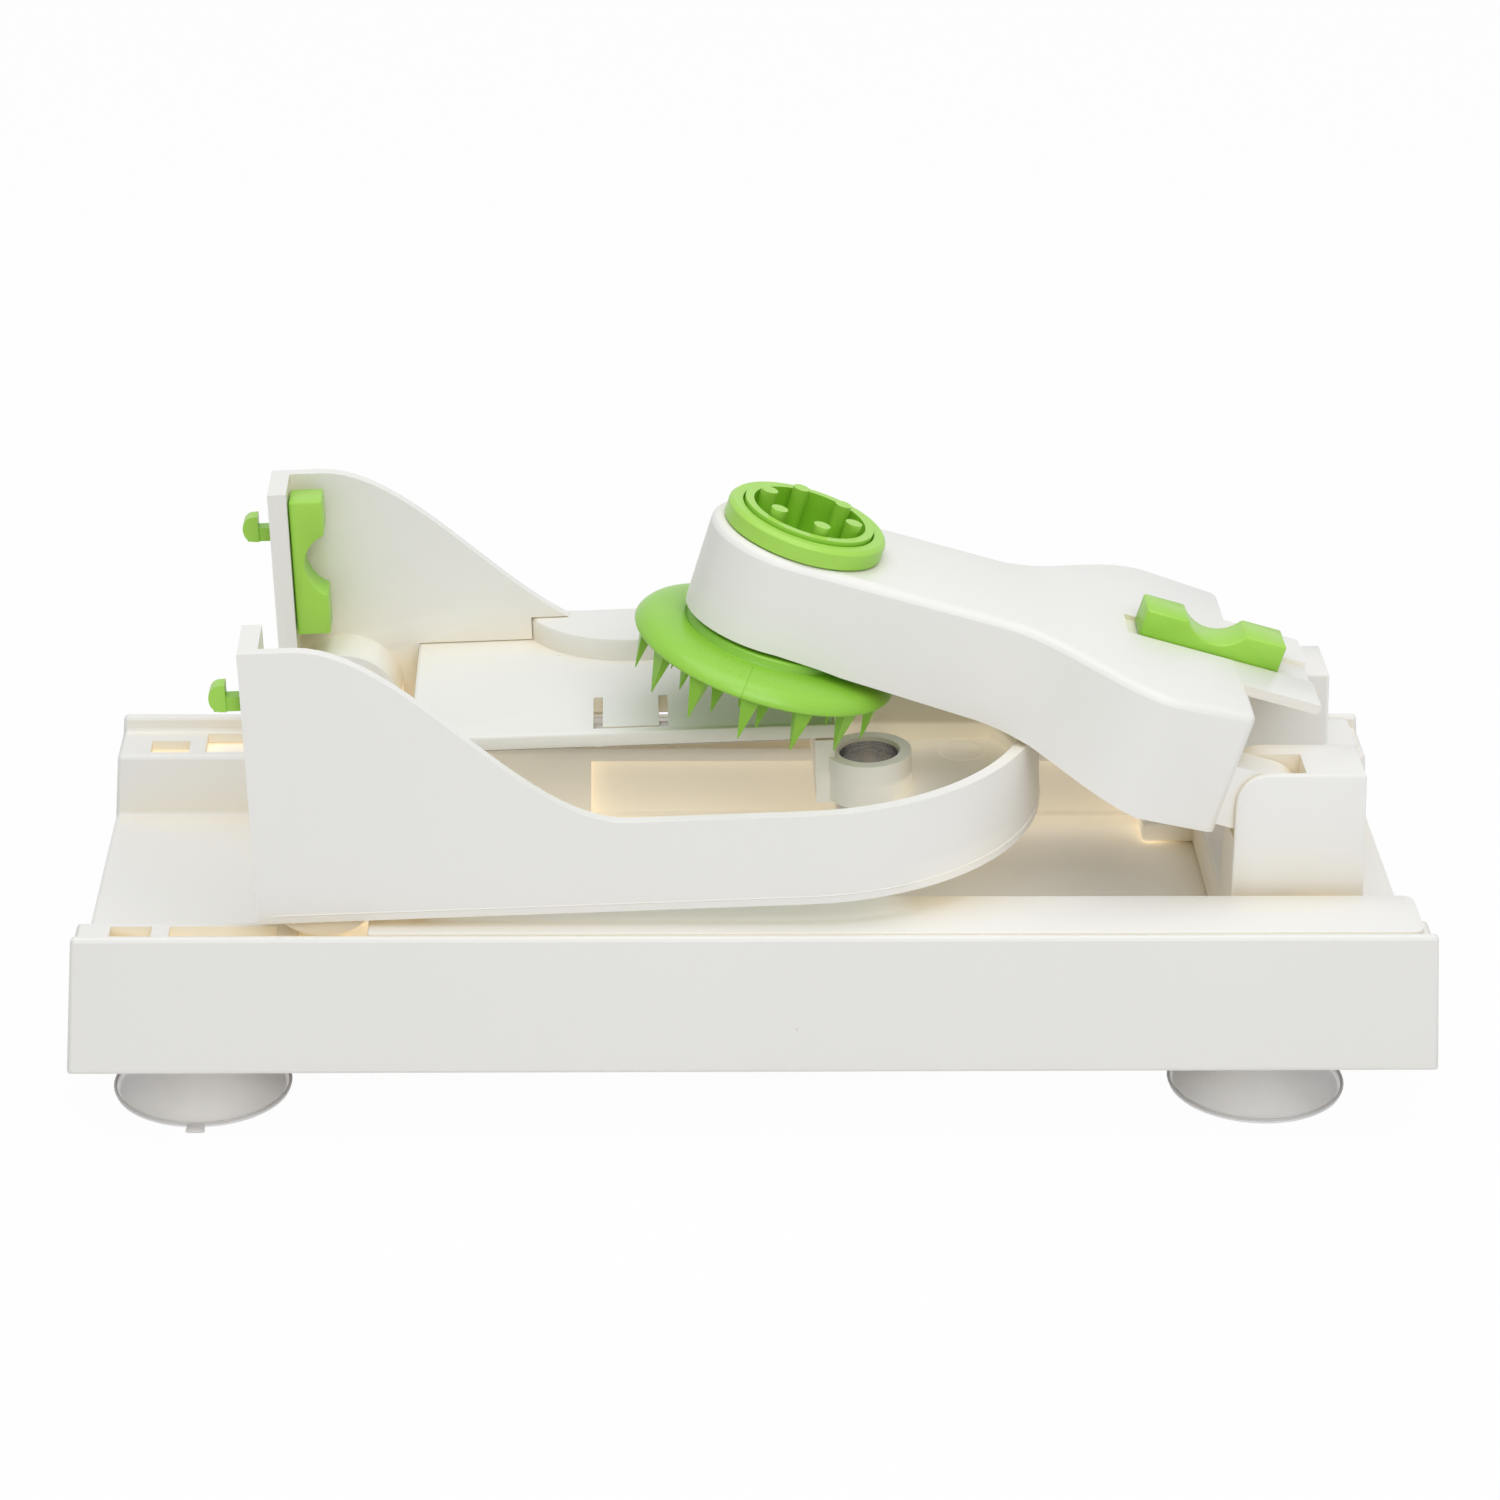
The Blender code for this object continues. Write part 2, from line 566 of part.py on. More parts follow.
rim = prism("blade_frame", arch_outline(-FOOT_BACK, FRAME_HALF), WING_HEIGHT, IVORY, frame_axis,
            (0, 0, WING_TOP - WING_HEIGHT / 2))
floor_top = FRAME_FLOOR - FRAME_DROP
foot_face = FOOT_THICKNESS - FOOT_BACK
over_wings = WING_TOP + SHELL
above = [(ARCH_CENTRE + FRAME_WIDTH, RIM_TOP), (ARCH_CENTRE + FRAME_WIDTH, over_wings),
         (WING_CURVE_START, over_wings)]
for i in range(25):
    u = WING_CURVE_START + (WING_CURVE_END - WING_CURVE_START) * i / 24
    above.append((u, WING_TOP + (RIM_TOP - WING_TOP) * smooth(i / 24)))
opening_half = FRAME_INNER - FLOOR_LEDGE
opening_end = degrees(asin((CORER_U + ARCH_FLOOR_START - ARCH_CENTRE) / opening_half))
opening = [(foot_face - SHELL, -opening_half)]
opening += arc(ARCH_CENTRE, 0, opening_half, -90, opening_end - 90, 6)
opening += arc(ARCH_CENTRE, 0, opening_half, 90 - opening_end, 90, 6)
opening += [(foot_face - SHELL, opening_half)]
carve(rim,
      prism("frame_room", arch_outline(foot_face, FRAME_INNER), over_wings - floor_top, IVORY, frame_axis,
            (0, 0, (over_wings + floor_top) / 2)),
      box("foot_gap", (-FOOT_BACK - SHELL, -FOOT_INNER, -FRAME_DROP - SHELL),
          (foot_face + SHELL, FOOT_INNER, over_wings), IVORY, frame_axis),
      prism("frame_opening", opening, 3 * FRAME_FLOOR, IVORY, frame_axis, (0, 0, -FRAME_DROP)),
      prism("above_wings", above, 2 * FRAME_WIDTH, IVORY, frame_axis, (0, 0, 0), UPRIGHT))

bar_end = CASSETTE_END - GAP
bar_foot = STEP - FRAME_DROP
bar_top = CASSETTE_BOTTOM - GAP
bar_reach = FRAME_INNER + FRAME_WALL / 2
join(rim,
     box("crossbar", (CASSETTE_START + GAP, -bar_reach, bar_foot),
         (CASSETTE_START + GAP + CROSSBAR_WIDTH, bar_reach, bar_top), IVORY, frame_axis),
     box("cassette_bar", (bar_end - CROSSBAR_WIDTH, -CASSETTE_FRONT, bar_foot), (bar_end, bar_reach, bar_top),
         IVORY, frame_axis),
     rod("corer_ring", CORER_RADIUS, (CORER_U, 0, CORER_FOOT), (CORER_U, 0, CORER_RISE),
         IVORY, frame_axis, 40),
     box("corer_web", (CORER_U + CORER_RADIUS - 1 * MM, -1.2 * MM, bar_foot),
         (CORER_U + CORER_RADIUS + 5 * MM, 1.2 * MM, CORER_FOOT + CORER_HEIGHT / 2), IVORY, frame_axis))
for label, side in SIDES:
    join(rim, rod("frame_boss_" + label, FRAME_BOSS_RADIUS, (0, side * (POST_OUTER + GAP + STEP), 0),
                  (0, side * (FRAME_INNER + FRAME_WALL / 2), 0), IVORY, frame_axis, 40))
deck_radius = FRAME_INNER + FRAME_WALL / 2
deck_left = bar_end - 1 * MM
deck = [(deck_left, DECK_SETBACK)]
deck += arc(ARCH_CENTRE, 0, deck_radius, degrees(asin(DECK_SETBACK / deck_radius)),
            degrees(acos((deck_left - ARCH_CENTRE) / deck_radius)), 16)
deck_foot = bar_foot + STEP / 2
deck_top = bar_top - STEP / 2
join(rim, prism("arch_deck", deck, deck_top - deck_foot, IVORY, frame_axis, (0, 0, (deck_top + deck_foot) / 2)))

slot_low = bar_top + STEP / 4
blade_top = CASSETTE_BOTTOM - GAP
blade_foot = blade_top - BLADE_THICKNESS
rivet_foot = blade_foot - 0.9 * MM
blade_end = bar_end - CROSSBAR_WIDTH - 1 * MM
blade_start = blade_end - BLADE_LENGTH
grip_u = CASSETTE_START + GRIP_CENTRE
grip_y = FRAME_HALF + GRIP_REACH


def grip_outline(radius, end):
    """The round front of the grip, closed by a straight back edge."""
    lift = degrees(asin((grip_y - end) / radius))
    return arc(grip_u, grip_y, radius, -180 + lift, -lift, 28)


carve(rim,
      rod("corer_bore", CORER_BORE, (CORER_U, 0, CORER_FOOT - 1 * MM), (CORER_U, 0, CORER_RISE + 1 * MM),
          IVORY, frame_axis, 40),
      rod("corer_seat", CORER_TUBE_RADIUS + GAP, (CORER_U, 0, -FRAME_DROP - SHELL),
          (CORER_U, 0, CORER_RISE - CORER_LIP), IVORY, frame_axis, 40),
      box("cassette_slot", (CASSETTE_START - GAP, FRAME_INNER - 4 * MM, slot_low),
          (CASSETTE_END + GAP, FRAME_HALF + 1 * MM, CASSETTE_TOP + GAP), IVORY, frame_axis),
      box("blade_slot", (blade_start - GAP, FRAME_INNER - 1 * MM, rivet_foot - GAP),
          (blade_end + GAP, FRAME_HALF + 1 * MM, CASSETTE_TOP), IVORY, frame_axis),
      prism("grip_notch", grip_outline(GRIP_RADIUS + GAP, FRAME_HALF + 2 * GRIP_LIP),
            GRIP_RISE + GAP, IVORY, frame_axis, (0, 0, CASSETTE_TOP + (GRIP_RISE + GAP) / 2)))
hook_y = FRAME_HALF - HOOK_INSET
hook_half = HOOK_STEM / 2
for label, side in SIDES:
    carve(rim,
          rod("boss_bore_" + label, FRAME_PIN_RADIUS + GAP, (0, side * (POST_OUTER - POST_THICKNESS), 0),
              (0, side * FRAME_INNER, 0), IVORY, frame_axis, 24),
          side_box("hook_slot_" + label, -FOOT_BACK - 1 * MM, FOOT_THICKNESS - FOOT_BACK + 1 * MM,
                   hook_y - hook_half - GAP, hook_y + hook_half + GAP,
                   HOOK_HEIGHT - hook_half - GAP - LATCH_TRAVEL, HOOK_HEIGHT + hook_half + GAP,
                   side, IVORY, frame_axis))

# Pins of the blade frame
for label, side in SIDES:
    tip = FRAME_INNER - GAP
    seat = POST_OUTER - POST_THICKNESS - GAP
    turned("frame_pivot_pin_" + label,
           [(0, tip), (FRAME_PIN_RADIUS, tip), (FRAME_PIN_RADIUS, seat), (PIN_HEAD_RADIUS, seat),
            (PIN_HEAD_RADIUS, seat - PIN_HEAD_THICKNESS), (0, seat - PIN_HEAD_THICKNESS)],
           STEEL, None, (FRAME_PIVOT_X, 0, FRAME_PIVOT_Z), (-side * pi / 2, 0, 0), 24)

# Blade cassette with its snap tab and half-round grip
cassette_mid = (CASSETTE_TOP + CASSETTE_BOTTOM) / 2
cassette = box("blade_cassette", (CASSETTE_START, -CASSETTE_FRONT, CASSETTE_BOTTOM),
               (CASSETTE_END, FRAME_HALF - GAP, CASSETTE_TOP), IVORY, frame_axis)
soften(cassette, 0.7 * MM)
grip_top = CASSETTE_TOP + GRIP_RISE
grip = prism("cassette_grip", grip_outline(GRIP_RADIUS, FRAME_HALF + GRIP_LIP),
             grip_top - cassette_mid, IVORY, frame_axis, (0, 0, (grip_top + cassette_mid) / 2))
soften(grip, 1.2 * MM)
join(cassette, grip)
tab_u = CASSETTE_START + TAB_CENTRE
tab_y = TAB_SETBACK - CASSETTE_FRONT
tab_side = TAB_WIDTH / 2
carve(cassette,
      box("tab_slit_left", (tab_u - tab_side - TAB_SLIT, tab_y, CASSETTE_BOTTOM - 1 * MM),
          (tab_u - tab_side, tab_y + TAB_LENGTH, CASSETTE_TOP + 1 * MM), IVORY, frame_axis),
      box("tab_slit_right", (tab_u + tab_side, tab_y, CASSETTE_BOTTOM - 1 * MM),
          (tab_u + tab_side + TAB_SLIT, tab_y + TAB_LENGTH, CASSETTE_TOP + 1 * MM), IVORY, frame_axis),
      box("tab_slit_end", (tab_u - tab_side - TAB_SLIT, tab_y - 0.8 * MM, CASSETTE_BOTTOM - 1 * MM),
          (tab_u + tab_side + TAB_SLIT, tab_y + 0.05 * MM, CASSETTE_TOP + 1 * MM), IVORY, frame_axis))

# Straight blade riveted under the cassette's front edge
blade_front = BLADE_SETBACK - CASSETTE_FRONT
blade_back = blade_front + BLADE_WIDTH
blade_outline = [(blade_back, blade_foot), (blade_back, blade_top), (blade_front + BLADE_EDGE * 0.8, blade_top),
                 (blade_front, blade_foot + 0.1 * MM), (blade_front, blade_foot)]
blade = prism("straight_blade", blade_outline, BLADE_LENGTH, STEEL, frame_axis,
              ((blade_start + blade_end) / 2, 0, 0), LENGTHWISE)
rivet_y = blade_back - 3.2 * MM
for number in range(RIVET_COUNT):
    u = blade_start + BLADE_LENGTH * (number + 0.5) / RIVET_COUNT
    if abs(u - tab_u) < tab_side + TAB_SLIT + 3 * MM:
        u = tab_u + tab_side + TAB_SLIT + 4 * MM
    shank_top = cassette_mid + 0.6 * MM
    turned(f"blade_rivet_{number + 1}",
           [(0, shank_top), (RIVET_RADIUS, shank_top), (RIVET_RADIUS, blade_foot - GAP),
            (RIVET_RADIUS * 1.7, blade_foot - GAP), (RIVET_RADIUS * 1.7, rivet_foot), (0, rivet_foot)],
           STEEL, frame_axis, (u, rivet_y, 0), steps=16)
    carve(blade, rod(f"blade_hole_{number}", RIVET_RADIUS + GAP, (u, rivet_y, blade_foot - 1 * MM),
                     (u, rivet_y, blade_top + 1 * MM), STEEL, frame_axis, 16))
    carve(cassette, rod(f"rivet_hole_{number}", RIVET_RADIUS + GAP, (u, rivet_y, CASSETTE_BOTTOM - 1 * MM),
                        (u, rivet_y, shank_top + GAP), IVORY, frame_axis, 16))

# Steel tube of the corer
tube_inner = CORER_TUBE_RADIUS - CORER_TUBE_WALL
tube_top = CORER_RISE - CORER_LIP - GAP
tube_foot = CORER_FOOT - CORER_TUBE_REACH
turned("corer_tube", [(CORER_TUBE_RADIUS, tube_top), (CORER_TUBE_RADIUS, tube_foot + 2 * CORER_TUBE_WALL),
                      (tube_inner + STEP, tube_foot), (tube_inner, tube_foot), (tube_inner, tube_top)],
       STEEL, frame_axis, (CORER_U, 0, 0), steps=40, ring=True)

# Foot latches: a thumb pad, a flange behind it and a hook through the foot plate


def scooped(x0, x1, z0, z1, radius, depth, steps=14):
    """A block's side outline with a round scoop in its far side, along the second axis."""
    middle = (z0 + z1) / 2
    centre = x1 + radius - depth
    reach = degrees(asin(sqrt(radius ** 2 - (radius - depth) ** 2) / radius))
    points = [(x0, z1), (x0, z0), (x1, z0)]
    points += arc(centre, middle, radius, 180 + reach, 180 - reach, steps)
    return points + [(x1, z1)]


pad_x0 = FOOT_THICKNESS - FOOT_BACK + GAP
pad_z1 = WING_TOP - LATCH_TOP_INSET
pad_z0 = pad_z1 - LATCH_LENGTH
for label, side in SIDES:
    pad_inner = FOOT_INNER + GAP
    latch = prism("foot_latch_" + label,
                  scooped(pad_x0, pad_x0 + LATCH_HEIGHT, pad_z0, pad_z1, LATCH_SCOOP_RADIUS, LATCH_SCOOP_DEPTH),
                  LATCH_WIDTH, GREEN, frame_axis, (0, side * (pad_inner + LATCH_WIDTH / 2), 0), UPRIGHT)
    soften(latch, 0.5 * MM)
    flange = side_box("latch_flange_" + label, pad_x0 + 0.05 * MM, pad_x0 + LATCH_FLANGE, pad_inner + 1 * MM,
                      hook_y + hook_half, HOOK_HEIGHT - hook_half - 2 * MM, HOOK_HEIGHT + hook_half + 2 * MM,
                      side, GREEN, frame_axis)
    stem = side_box("latch_stem_" + label, -FOOT_BACK - HOOK_REACH + 1 * MM, pad_x0 + LATCH_FLANGE / 2,
                    hook_y - hook_half, hook_y + hook_half, HOOK_HEIGHT - hook_half, HOOK_HEIGHT + hook_half,
                    side, GREEN, frame_axis)
    head_x = HOOK_HEAD - FOOT_BACK - HOOK_REACH
    head_low = HOOK_HEIGHT - hook_half - 0.1 * MM
    head_high = HOOK_HEIGHT + hook_half + HOOK_BARB
    head_mid = (head_low + head_high) / 2
    head_half = (head_high - head_low) / 2
    outline = [(head_x, head_low), (head_x, head_high)]
    outline += [(head_x - HOOK_HEAD * sin(radians(a)) ** 0.6, head_mid + head_half * cos(radians(a)))
                for a in range(15, 180, 15)]
    head = prism("latch_head_" + label, outline, HOOK_STEM + 0.6 * MM, GREEN, frame_axis,
                 (0, side * hook_y, 0), UPRIGHT)
    join(latch, flange, stem, head)

# Carriage: a bed with two ears, runners in front and tongues under the rail caps
bed_foot = FLOOR_Z + GAP
bed_top = BASE_LIFT + CARRIAGE_BED
ear_mid = (CARRIAGE_HALF_WIDTH + EAR_INNER) / 2
carriage = box("carriage", (CARRIAGE_X0, -CARRIAGE_HALF_WIDTH, bed_foot),
               (CARRIAGE_X1, CARRIAGE_HALF_WIDTH, bed_top))
soften(carriage, 0.6 * MM)
for label, side in SIDES:
    outline = [(CARRIAGE_X0, bed_foot + 1 * MM)]
    outline += arc(CARRIAGE_X0 + EAR_CORNER, EAR_TOP - EAR_CORNER, EAR_CORNER, 180, 90, 8)
    outline += [(CARRIAGE_X1 - EAR_DRAFT, EAR_TOP), (CARRIAGE_X1, bed_foot + 1 * MM)]
    ear = prism("ear_" + label, outline, CARRIAGE_HALF_WIDTH - EAR_INNER, IVORY, None,
                (0, side * ear_mid, 0), UPRIGHT)
    soften(ear, 0.6 * MM)
    runner = side_box("runner_" + label, CARRIAGE_X0 + 5.4 * MM - RUNNER_LENGTH, CARRIAGE_X0 + 5.4 * MM,
                      cap_inner - GAP - RUNNER_WIDTH, cap_inner - GAP, bed_foot, bed_foot + RUNNER_HEIGHT, side)
    soften(runner, 1.2 * MM, 3)
    tongue = side_box("tongue_" + label, CARRIAGE_X1 - TONGUE_LENGTH, CARRIAGE_X1 - 0.5 * MM,
                      CARRIAGE_HALF_WIDTH - 2 * MM, RAIL_INNER - GAP, LEDGE_Z - TONGUE_HEIGHT, LEDGE_Z, side)
    join(carriage, ear, runner, tongue)
pin_bore_end = LUG_OUTER + GAP + 0.8 * MM
for label, side in SIDES:
    carve(carriage,
          side_box("lug_pocket_" + label, CARRIAGE_X0 - 1 * MM, ARM_PIVOT_X + LUG_RADIUS + 0.5 * MM,
                   LUG_OUTER - LUG_WIDTH - GAP, LUG_OUTER + GAP, ARM_PIVOT_Z - LUG_RADIUS - 0.6 * MM,
                   EAR_TOP + 1 * MM, side),
          rod("ear_bore_" + label, ARM_PIN_RADIUS + GAP, (ARM_PIVOT_X, side * (EAR_INNER - 1 * MM), ARM_PIVOT_Z),
              (ARM_PIVOT_X, side * pin_bore_end, ARM_PIVOT_Z), sides=24))
    rod("arm_pivot_pin_" + label, ARM_PIN_RADIUS, (ARM_PIVOT_X, side * (EAR_INNER + GAP), ARM_PIVOT_Z),
        (ARM_PIVOT_X, side * (pin_bore_end - GAP), ARM_PIVOT_Z), STEEL, None, 24)

# Drive arm
arm_axis = axis_empty("arm_axis", (ARM_PIVOT_X, 0, ARM_PIVOT_Z), ARM_TILT)
ARM_TAIL_AT = ARM_REACH - ARM_END


def arm_half_width(s):
    """Half width of the arm at a distance from the disc axis."""
    if s > ARM_WIDE_START:
        t = (s - ARM_WIDE_START) / (ARM_TAIL_AT - ARM_WIDE_START)
        return ARM_WIDE + (ARM_TAIL_WIDTH - ARM_WIDE) * t
    start = ARM_NECK_END
    return ARM_HEAD_RADIUS + (ARM_WIDE - ARM_HEAD_RADIUS) * smooth((s - start) / (ARM_WIDE_START - start))


def arm_outline(inset, start=None):
    """The arm in plan, round at the disc end, or cut square at a given distance from the disc axis."""
    last = ARM_TAIL_AT - inset
    first = ARM_NECK_END if start is None else start
    side = [(first + (last - first) * i / 20, 0) for i in range(21)]
    side = [(s, arm_half_width(s) - inset) for s, y in side]
    points = [(s, -y) for s, y in side]
    points += [(s, y) for s, y in reversed(side)]
    if start is None:
        points += arc(-ARM_HEAD_OFFSET, 0, ARM_HEAD_RADIUS - inset, 90, 270, 28)
    return [(s - ARM_REACH, y) for s, y in points]


block = ARM_TAIL_DEPTH + 4 * MM
arm = prism("arm_shell", arm_outline(0), block, IVORY, arm_axis, (0, 0, ARM_TOP - block / 2))
soften(arm, ARM_EDGE, 3)
hollow_start = ARM_HEAD_RADIUS + ARM_WALL
below = [(-2 * ARM_HEAD_RADIUS, ARM_HEAD_DEPTH), (hollow_start, ARM_HEAD_DEPTH), (ARM_MID_AT, ARM_MID_DEPTH),
         (ARM_WIDE_START, ARM_TAIL_DEPTH), (ARM_REACH, ARM_TAIL_DEPTH)]
below = [(s - ARM_REACH, ARM_TOP - depth) for s, depth in below]
below += [(20 * MM, ARM_TOP - block - 20 * MM), (-ARM_REACH - 2 * ARM_HEAD_RADIUS, ARM_TOP - block - 20 * MM)]
carve(arm,
      prism("arm_below", below, 2 * ARM_WIDE + 10 * MM, IVORY, arm_axis, (0, 0, 0), UPRIGHT),
      prism("arm_room", arm_outline(ARM_WALL, hollow_start), block, IVORY, arm_axis,
            (0, 0, ARM_TOP - ARM_ROOF - block / 2)))
rib_foot = ARM_TOP - ARM_HEAD_DEPTH * 0.6
for number in range(ARM_RIB_COUNT):
    s = hollow_start + (ARM_TAIL_AT - 22 * MM - hollow_start) * (number + 1) / ARM_RIB_COUNT
    reach = arm_half_width(s - ARM_RIB) - ARM_WALL / 2
    join(arm, box(f"arm_rib_{number}", (s - ARM_RIB / 2 - ARM_REACH, -reach, rib_foot),
                  (s + ARM_RIB / 2 - ARM_REACH, reach, ARM_TOP - ARM_ROOF / 2), IVORY, arm_axis))
join(arm, box("arm_lip", (-ARM_END - 2 * MM, -ARM_LIP_HALF_WIDTH, ARM_TOP - ARM_LIP_THICKNESS - 0.4 * MM),
              (ARM_LIP_LENGTH - ARM_END, ARM_LIP_HALF_WIDTH, ARM_TOP - 0.05 * MM), IVORY, arm_axis))
for label, side in SIDES:
    join(arm,
         side_box("lug_web_" + label, -ARM_END - ARM_WALL / 2, 0, LUG_OUTER - LUG_WIDTH, LUG_OUTER,
                  -LUG_RADIUS, LUG_RADIUS, side, IVORY, arm_axis),
         rod("lug_" + label, LUG_RADIUS, (0, side * (LUG_OUTER - LUG_WIDTH), 0), (0, side * LUG_OUTER, 0),
             IVORY, arm_axis, 32))
collar_bore = SOCKET_RADIUS + GAP
sleeve_radius = collar_bore + COLLAR_SLEEVE
slide_x1 = SLIDE_OVERHANG - ARM_END
slide_x0 = slide_x1 - SLIDE_LENGTH
slide_foot = ARM_TOP - SLIDE_RECESS + GAP
stem_x1 = -ARM_END - ARM_WALL - 2 * MM
stem_x0 = stem_x1 - SLIDE_STEM_LENGTH
for label, side in SIDES:
    carve(arm, rod("lug_bore_" + label, ARM_PIN_RADIUS + GAP, (0, side * (EAR_INNER - 1 * MM), 0),
                   (0, side * (LUG_OUTER + 1 * MM), 0), IVORY, arm_axis, 24))
carve(arm,
      rod("head_bore", sleeve_radius + GAP, (-ARM_REACH, 0, ARM_TOP - 40 * MM),
          (-ARM_REACH, 0, ARM_TOP + 1 * MM), IVORY, arm_axis, 48),
      box("slide_recess", (slide_x0 - SLIDE_TRAVEL - GAP, -SLIDE_WIDTH / 2 - GAP, ARM_TOP - SLIDE_RECESS),
          (ARM_LIP_LENGTH, SLIDE_WIDTH / 2 + GAP, ARM_TOP + 1 * MM), IVORY, arm_axis),
      box("slide_slot", (stem_x0 - SLIDE_TRAVEL - GAP, -SLIDE_STEM_WIDTH / 2 - GAP, ARM_TOP - 2 * ARM_ROOF),
          (stem_x1 + GAP, SLIDE_STEM_WIDTH / 2 + GAP, ARM_TOP + 1 * MM), IVORY, arm_axis))

# Thumb slide in the top of the arm, held by a foot under the roof
outline = [(x, z) for z, x in scooped(slide_foot, ARM_TOP + SLIDE_HEIGHT, slide_x0, slide_x1,
                                      SLIDE_SCOOP_RADIUS, SLIDE_SCOOP_DEPTH)]
slide = prism("arm_latch", outline, SLIDE_WIDTH, GREEN, arm_axis, (0, 0, 0), UPRIGHT)
soften(slide, 0.5 * MM)
foot_top = ARM_TOP - ARM_ROOF - GAP
join(slide,
     box("slide_stem", (stem_x0, -SLIDE_STEM_WIDTH / 2, foot_top - SLIDE_FOOT_THICKNESS / 2),
         (stem_x1, SLIDE_STEM_WIDTH / 2, slide_foot + 1 * MM), GREEN, arm_axis),
     box("slide_foot", (stem_x0, -SLIDE_FOOT_WIDTH / 2, foot_top - SLIDE_FOOT_THICKNESS),
         (stem_x1, SLIDE_FOOT_WIDTH / 2, foot_top), GREEN, arm_axis))

# Collar, drive socket and disc turn about this axis
disc_axis = axis_empty("disc_axis", (-ARM_REACH, 0, ARM_TOP), 0.0, arm_axis)
sleeve_end = GAP - ARM_HEAD_DEPTH
turned("collar_bush",
       [(collar_bore, COLLAR_HEIGHT), (COLLAR_RADIUS - 0.9 * MM, COLLAR_HEIGHT),
        (COLLAR_RADIUS, COLLAR_HEIGHT - 0.9 * MM), (COLLAR_RADIUS, GAP), (sleeve_radius, GAP),
        (sleeve_radius, sleeve_end), (collar_bore, sleeve_end)],
       GREEN, disc_axis, steps=48, ring=True)
socket_end = -ARM_HEAD_DEPTH
spindle_end = -DISC_DEPTH - DISC_THICKNESS / 3
cup_radius = SOCKET_RADIUS - SOCKET_WALL
socket = turned("drive_socket",
                [(0, -SOCKET_FLOOR), (cup_radius, -SOCKET_FLOOR), (cup_radius, SOCKET_PROUD),
                 (SOCKET_RADIUS, SOCKET_PROUD), (SOCKET_RADIUS, socket_end), (SPINDLE_RADIUS, socket_end),
                 (SPINDLE_RADIUS, spindle_end), (0, spindle_end)], GREEN, disc_axis, steps=48)
for number in range(PIN_COUNT):
    turn = PIN_PHASE + 2 * pi * number / PIN_COUNT
    x, y = PIN_CIRCLE * cos(turn), PIN_CIRCLE * sin(turn)
    join(socket, rod(f"drive_pin_{number}", DRIVE_PIN_RADIUS, (x, y, -SOCKET_FLOOR - 1 * MM),
                     (x, y, DRIVE_PIN_TOP), GREEN, disc_axis, 20))
disc_foot = -DISC_DEPTH - DISC_THICKNESS
hub_top = socket_end - GAP
spindle_bore = SPINDLE_RADIUS + GAP
screw_bore = DISC_SCREW_RADIUS + GAP
disc = turned("spiked_disc",
              [(spindle_bore, hub_top), (HUB_RADIUS, hub_top), (HUB_RADIUS, -DISC_DEPTH)]
              + arc(DISC_RADIUS - DISC_EDGE, -DISC_DEPTH - DISC_SLOPE - DISC_EDGE, DISC_EDGE, 80, 0, 3)
              + [(DISC_RADIUS, disc_foot), (screw_bore, disc_foot), (screw_bore, spindle_end - GAP),
                 (spindle_bore, spindle_end - GAP)], GREEN, disc_axis, steps=48, ring=True)
spikes = bmesh.new()
for ring in range(SPIKE_RINGS):
    radius = DISC_RADIUS - SPIKE_EDGE - SPIKE_RING_STEP * ring
    count = max(3, round(2 * pi * radius / SPIKE_PITCH))
    for number in range(count):
        turn = 2 * pi * (number + 0.5 * (ring % 2)) / count
        place = Matrix.Rotation(turn, 4, "Z") @ Matrix.Translation((radius, 0, disc_foot + 0.5 * MM - SPIKE_LENGTH / 2))
        place = place @ Matrix.Rotation(pi, 4, "X")
        bmesh.ops.create_cone(spikes, cap_ends=True, segments=4, radius1=SPIKE_BASE, radius2=SPIKE_TIP,
                              depth=SPIKE_LENGTH + 1 * MM, matrix=place)
join(disc, from_bmesh("disc_spikes", spikes, GREEN, disc_axis, (0, 0, 0), (0, 0, 0)))
washer_top = disc_foot - GAP
washer_foot = washer_top - WASHER_THICKNESS
turned("thrust_washer", [(screw_bore, washer_top), (WASHER_RADIUS, washer_top), (WASHER_RADIUS, washer_foot),
                         (screw_bore, washer_foot)], STEEL, disc_axis, steps=32, ring=True)
head_top = washer_foot - GAP
screw_top = head_top + DISC_SCREW_LENGTH
turned("disc_screw", [(0, screw_top), (DISC_SCREW_RADIUS, screw_top), (DISC_SCREW_RADIUS, head_top),
                      (DISC_SCREW_HEAD, head_top), (DISC_SCREW_HEAD, head_top - 1.4 * MM),
                      (DISC_SCREW_HEAD - 0.7 * MM, head_top - 2.1 * MM), (0, head_top - 2.1 * MM)],
       STEEL, disc_axis, steps=24)
carve(socket, rod("screw_pilot", screw_bore, (0, 0, spindle_end - 1 * MM), (0, 0, screw_top + GAP),
                  GREEN, disc_axis, 20))
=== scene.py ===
"""Folding spiralizer: the finish of every surface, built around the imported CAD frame."""
import json
from math import atan2, cos, pi, radians, sin

import bmesh
import bpy
import numpy as np
from mathutils import Matrix, Vector


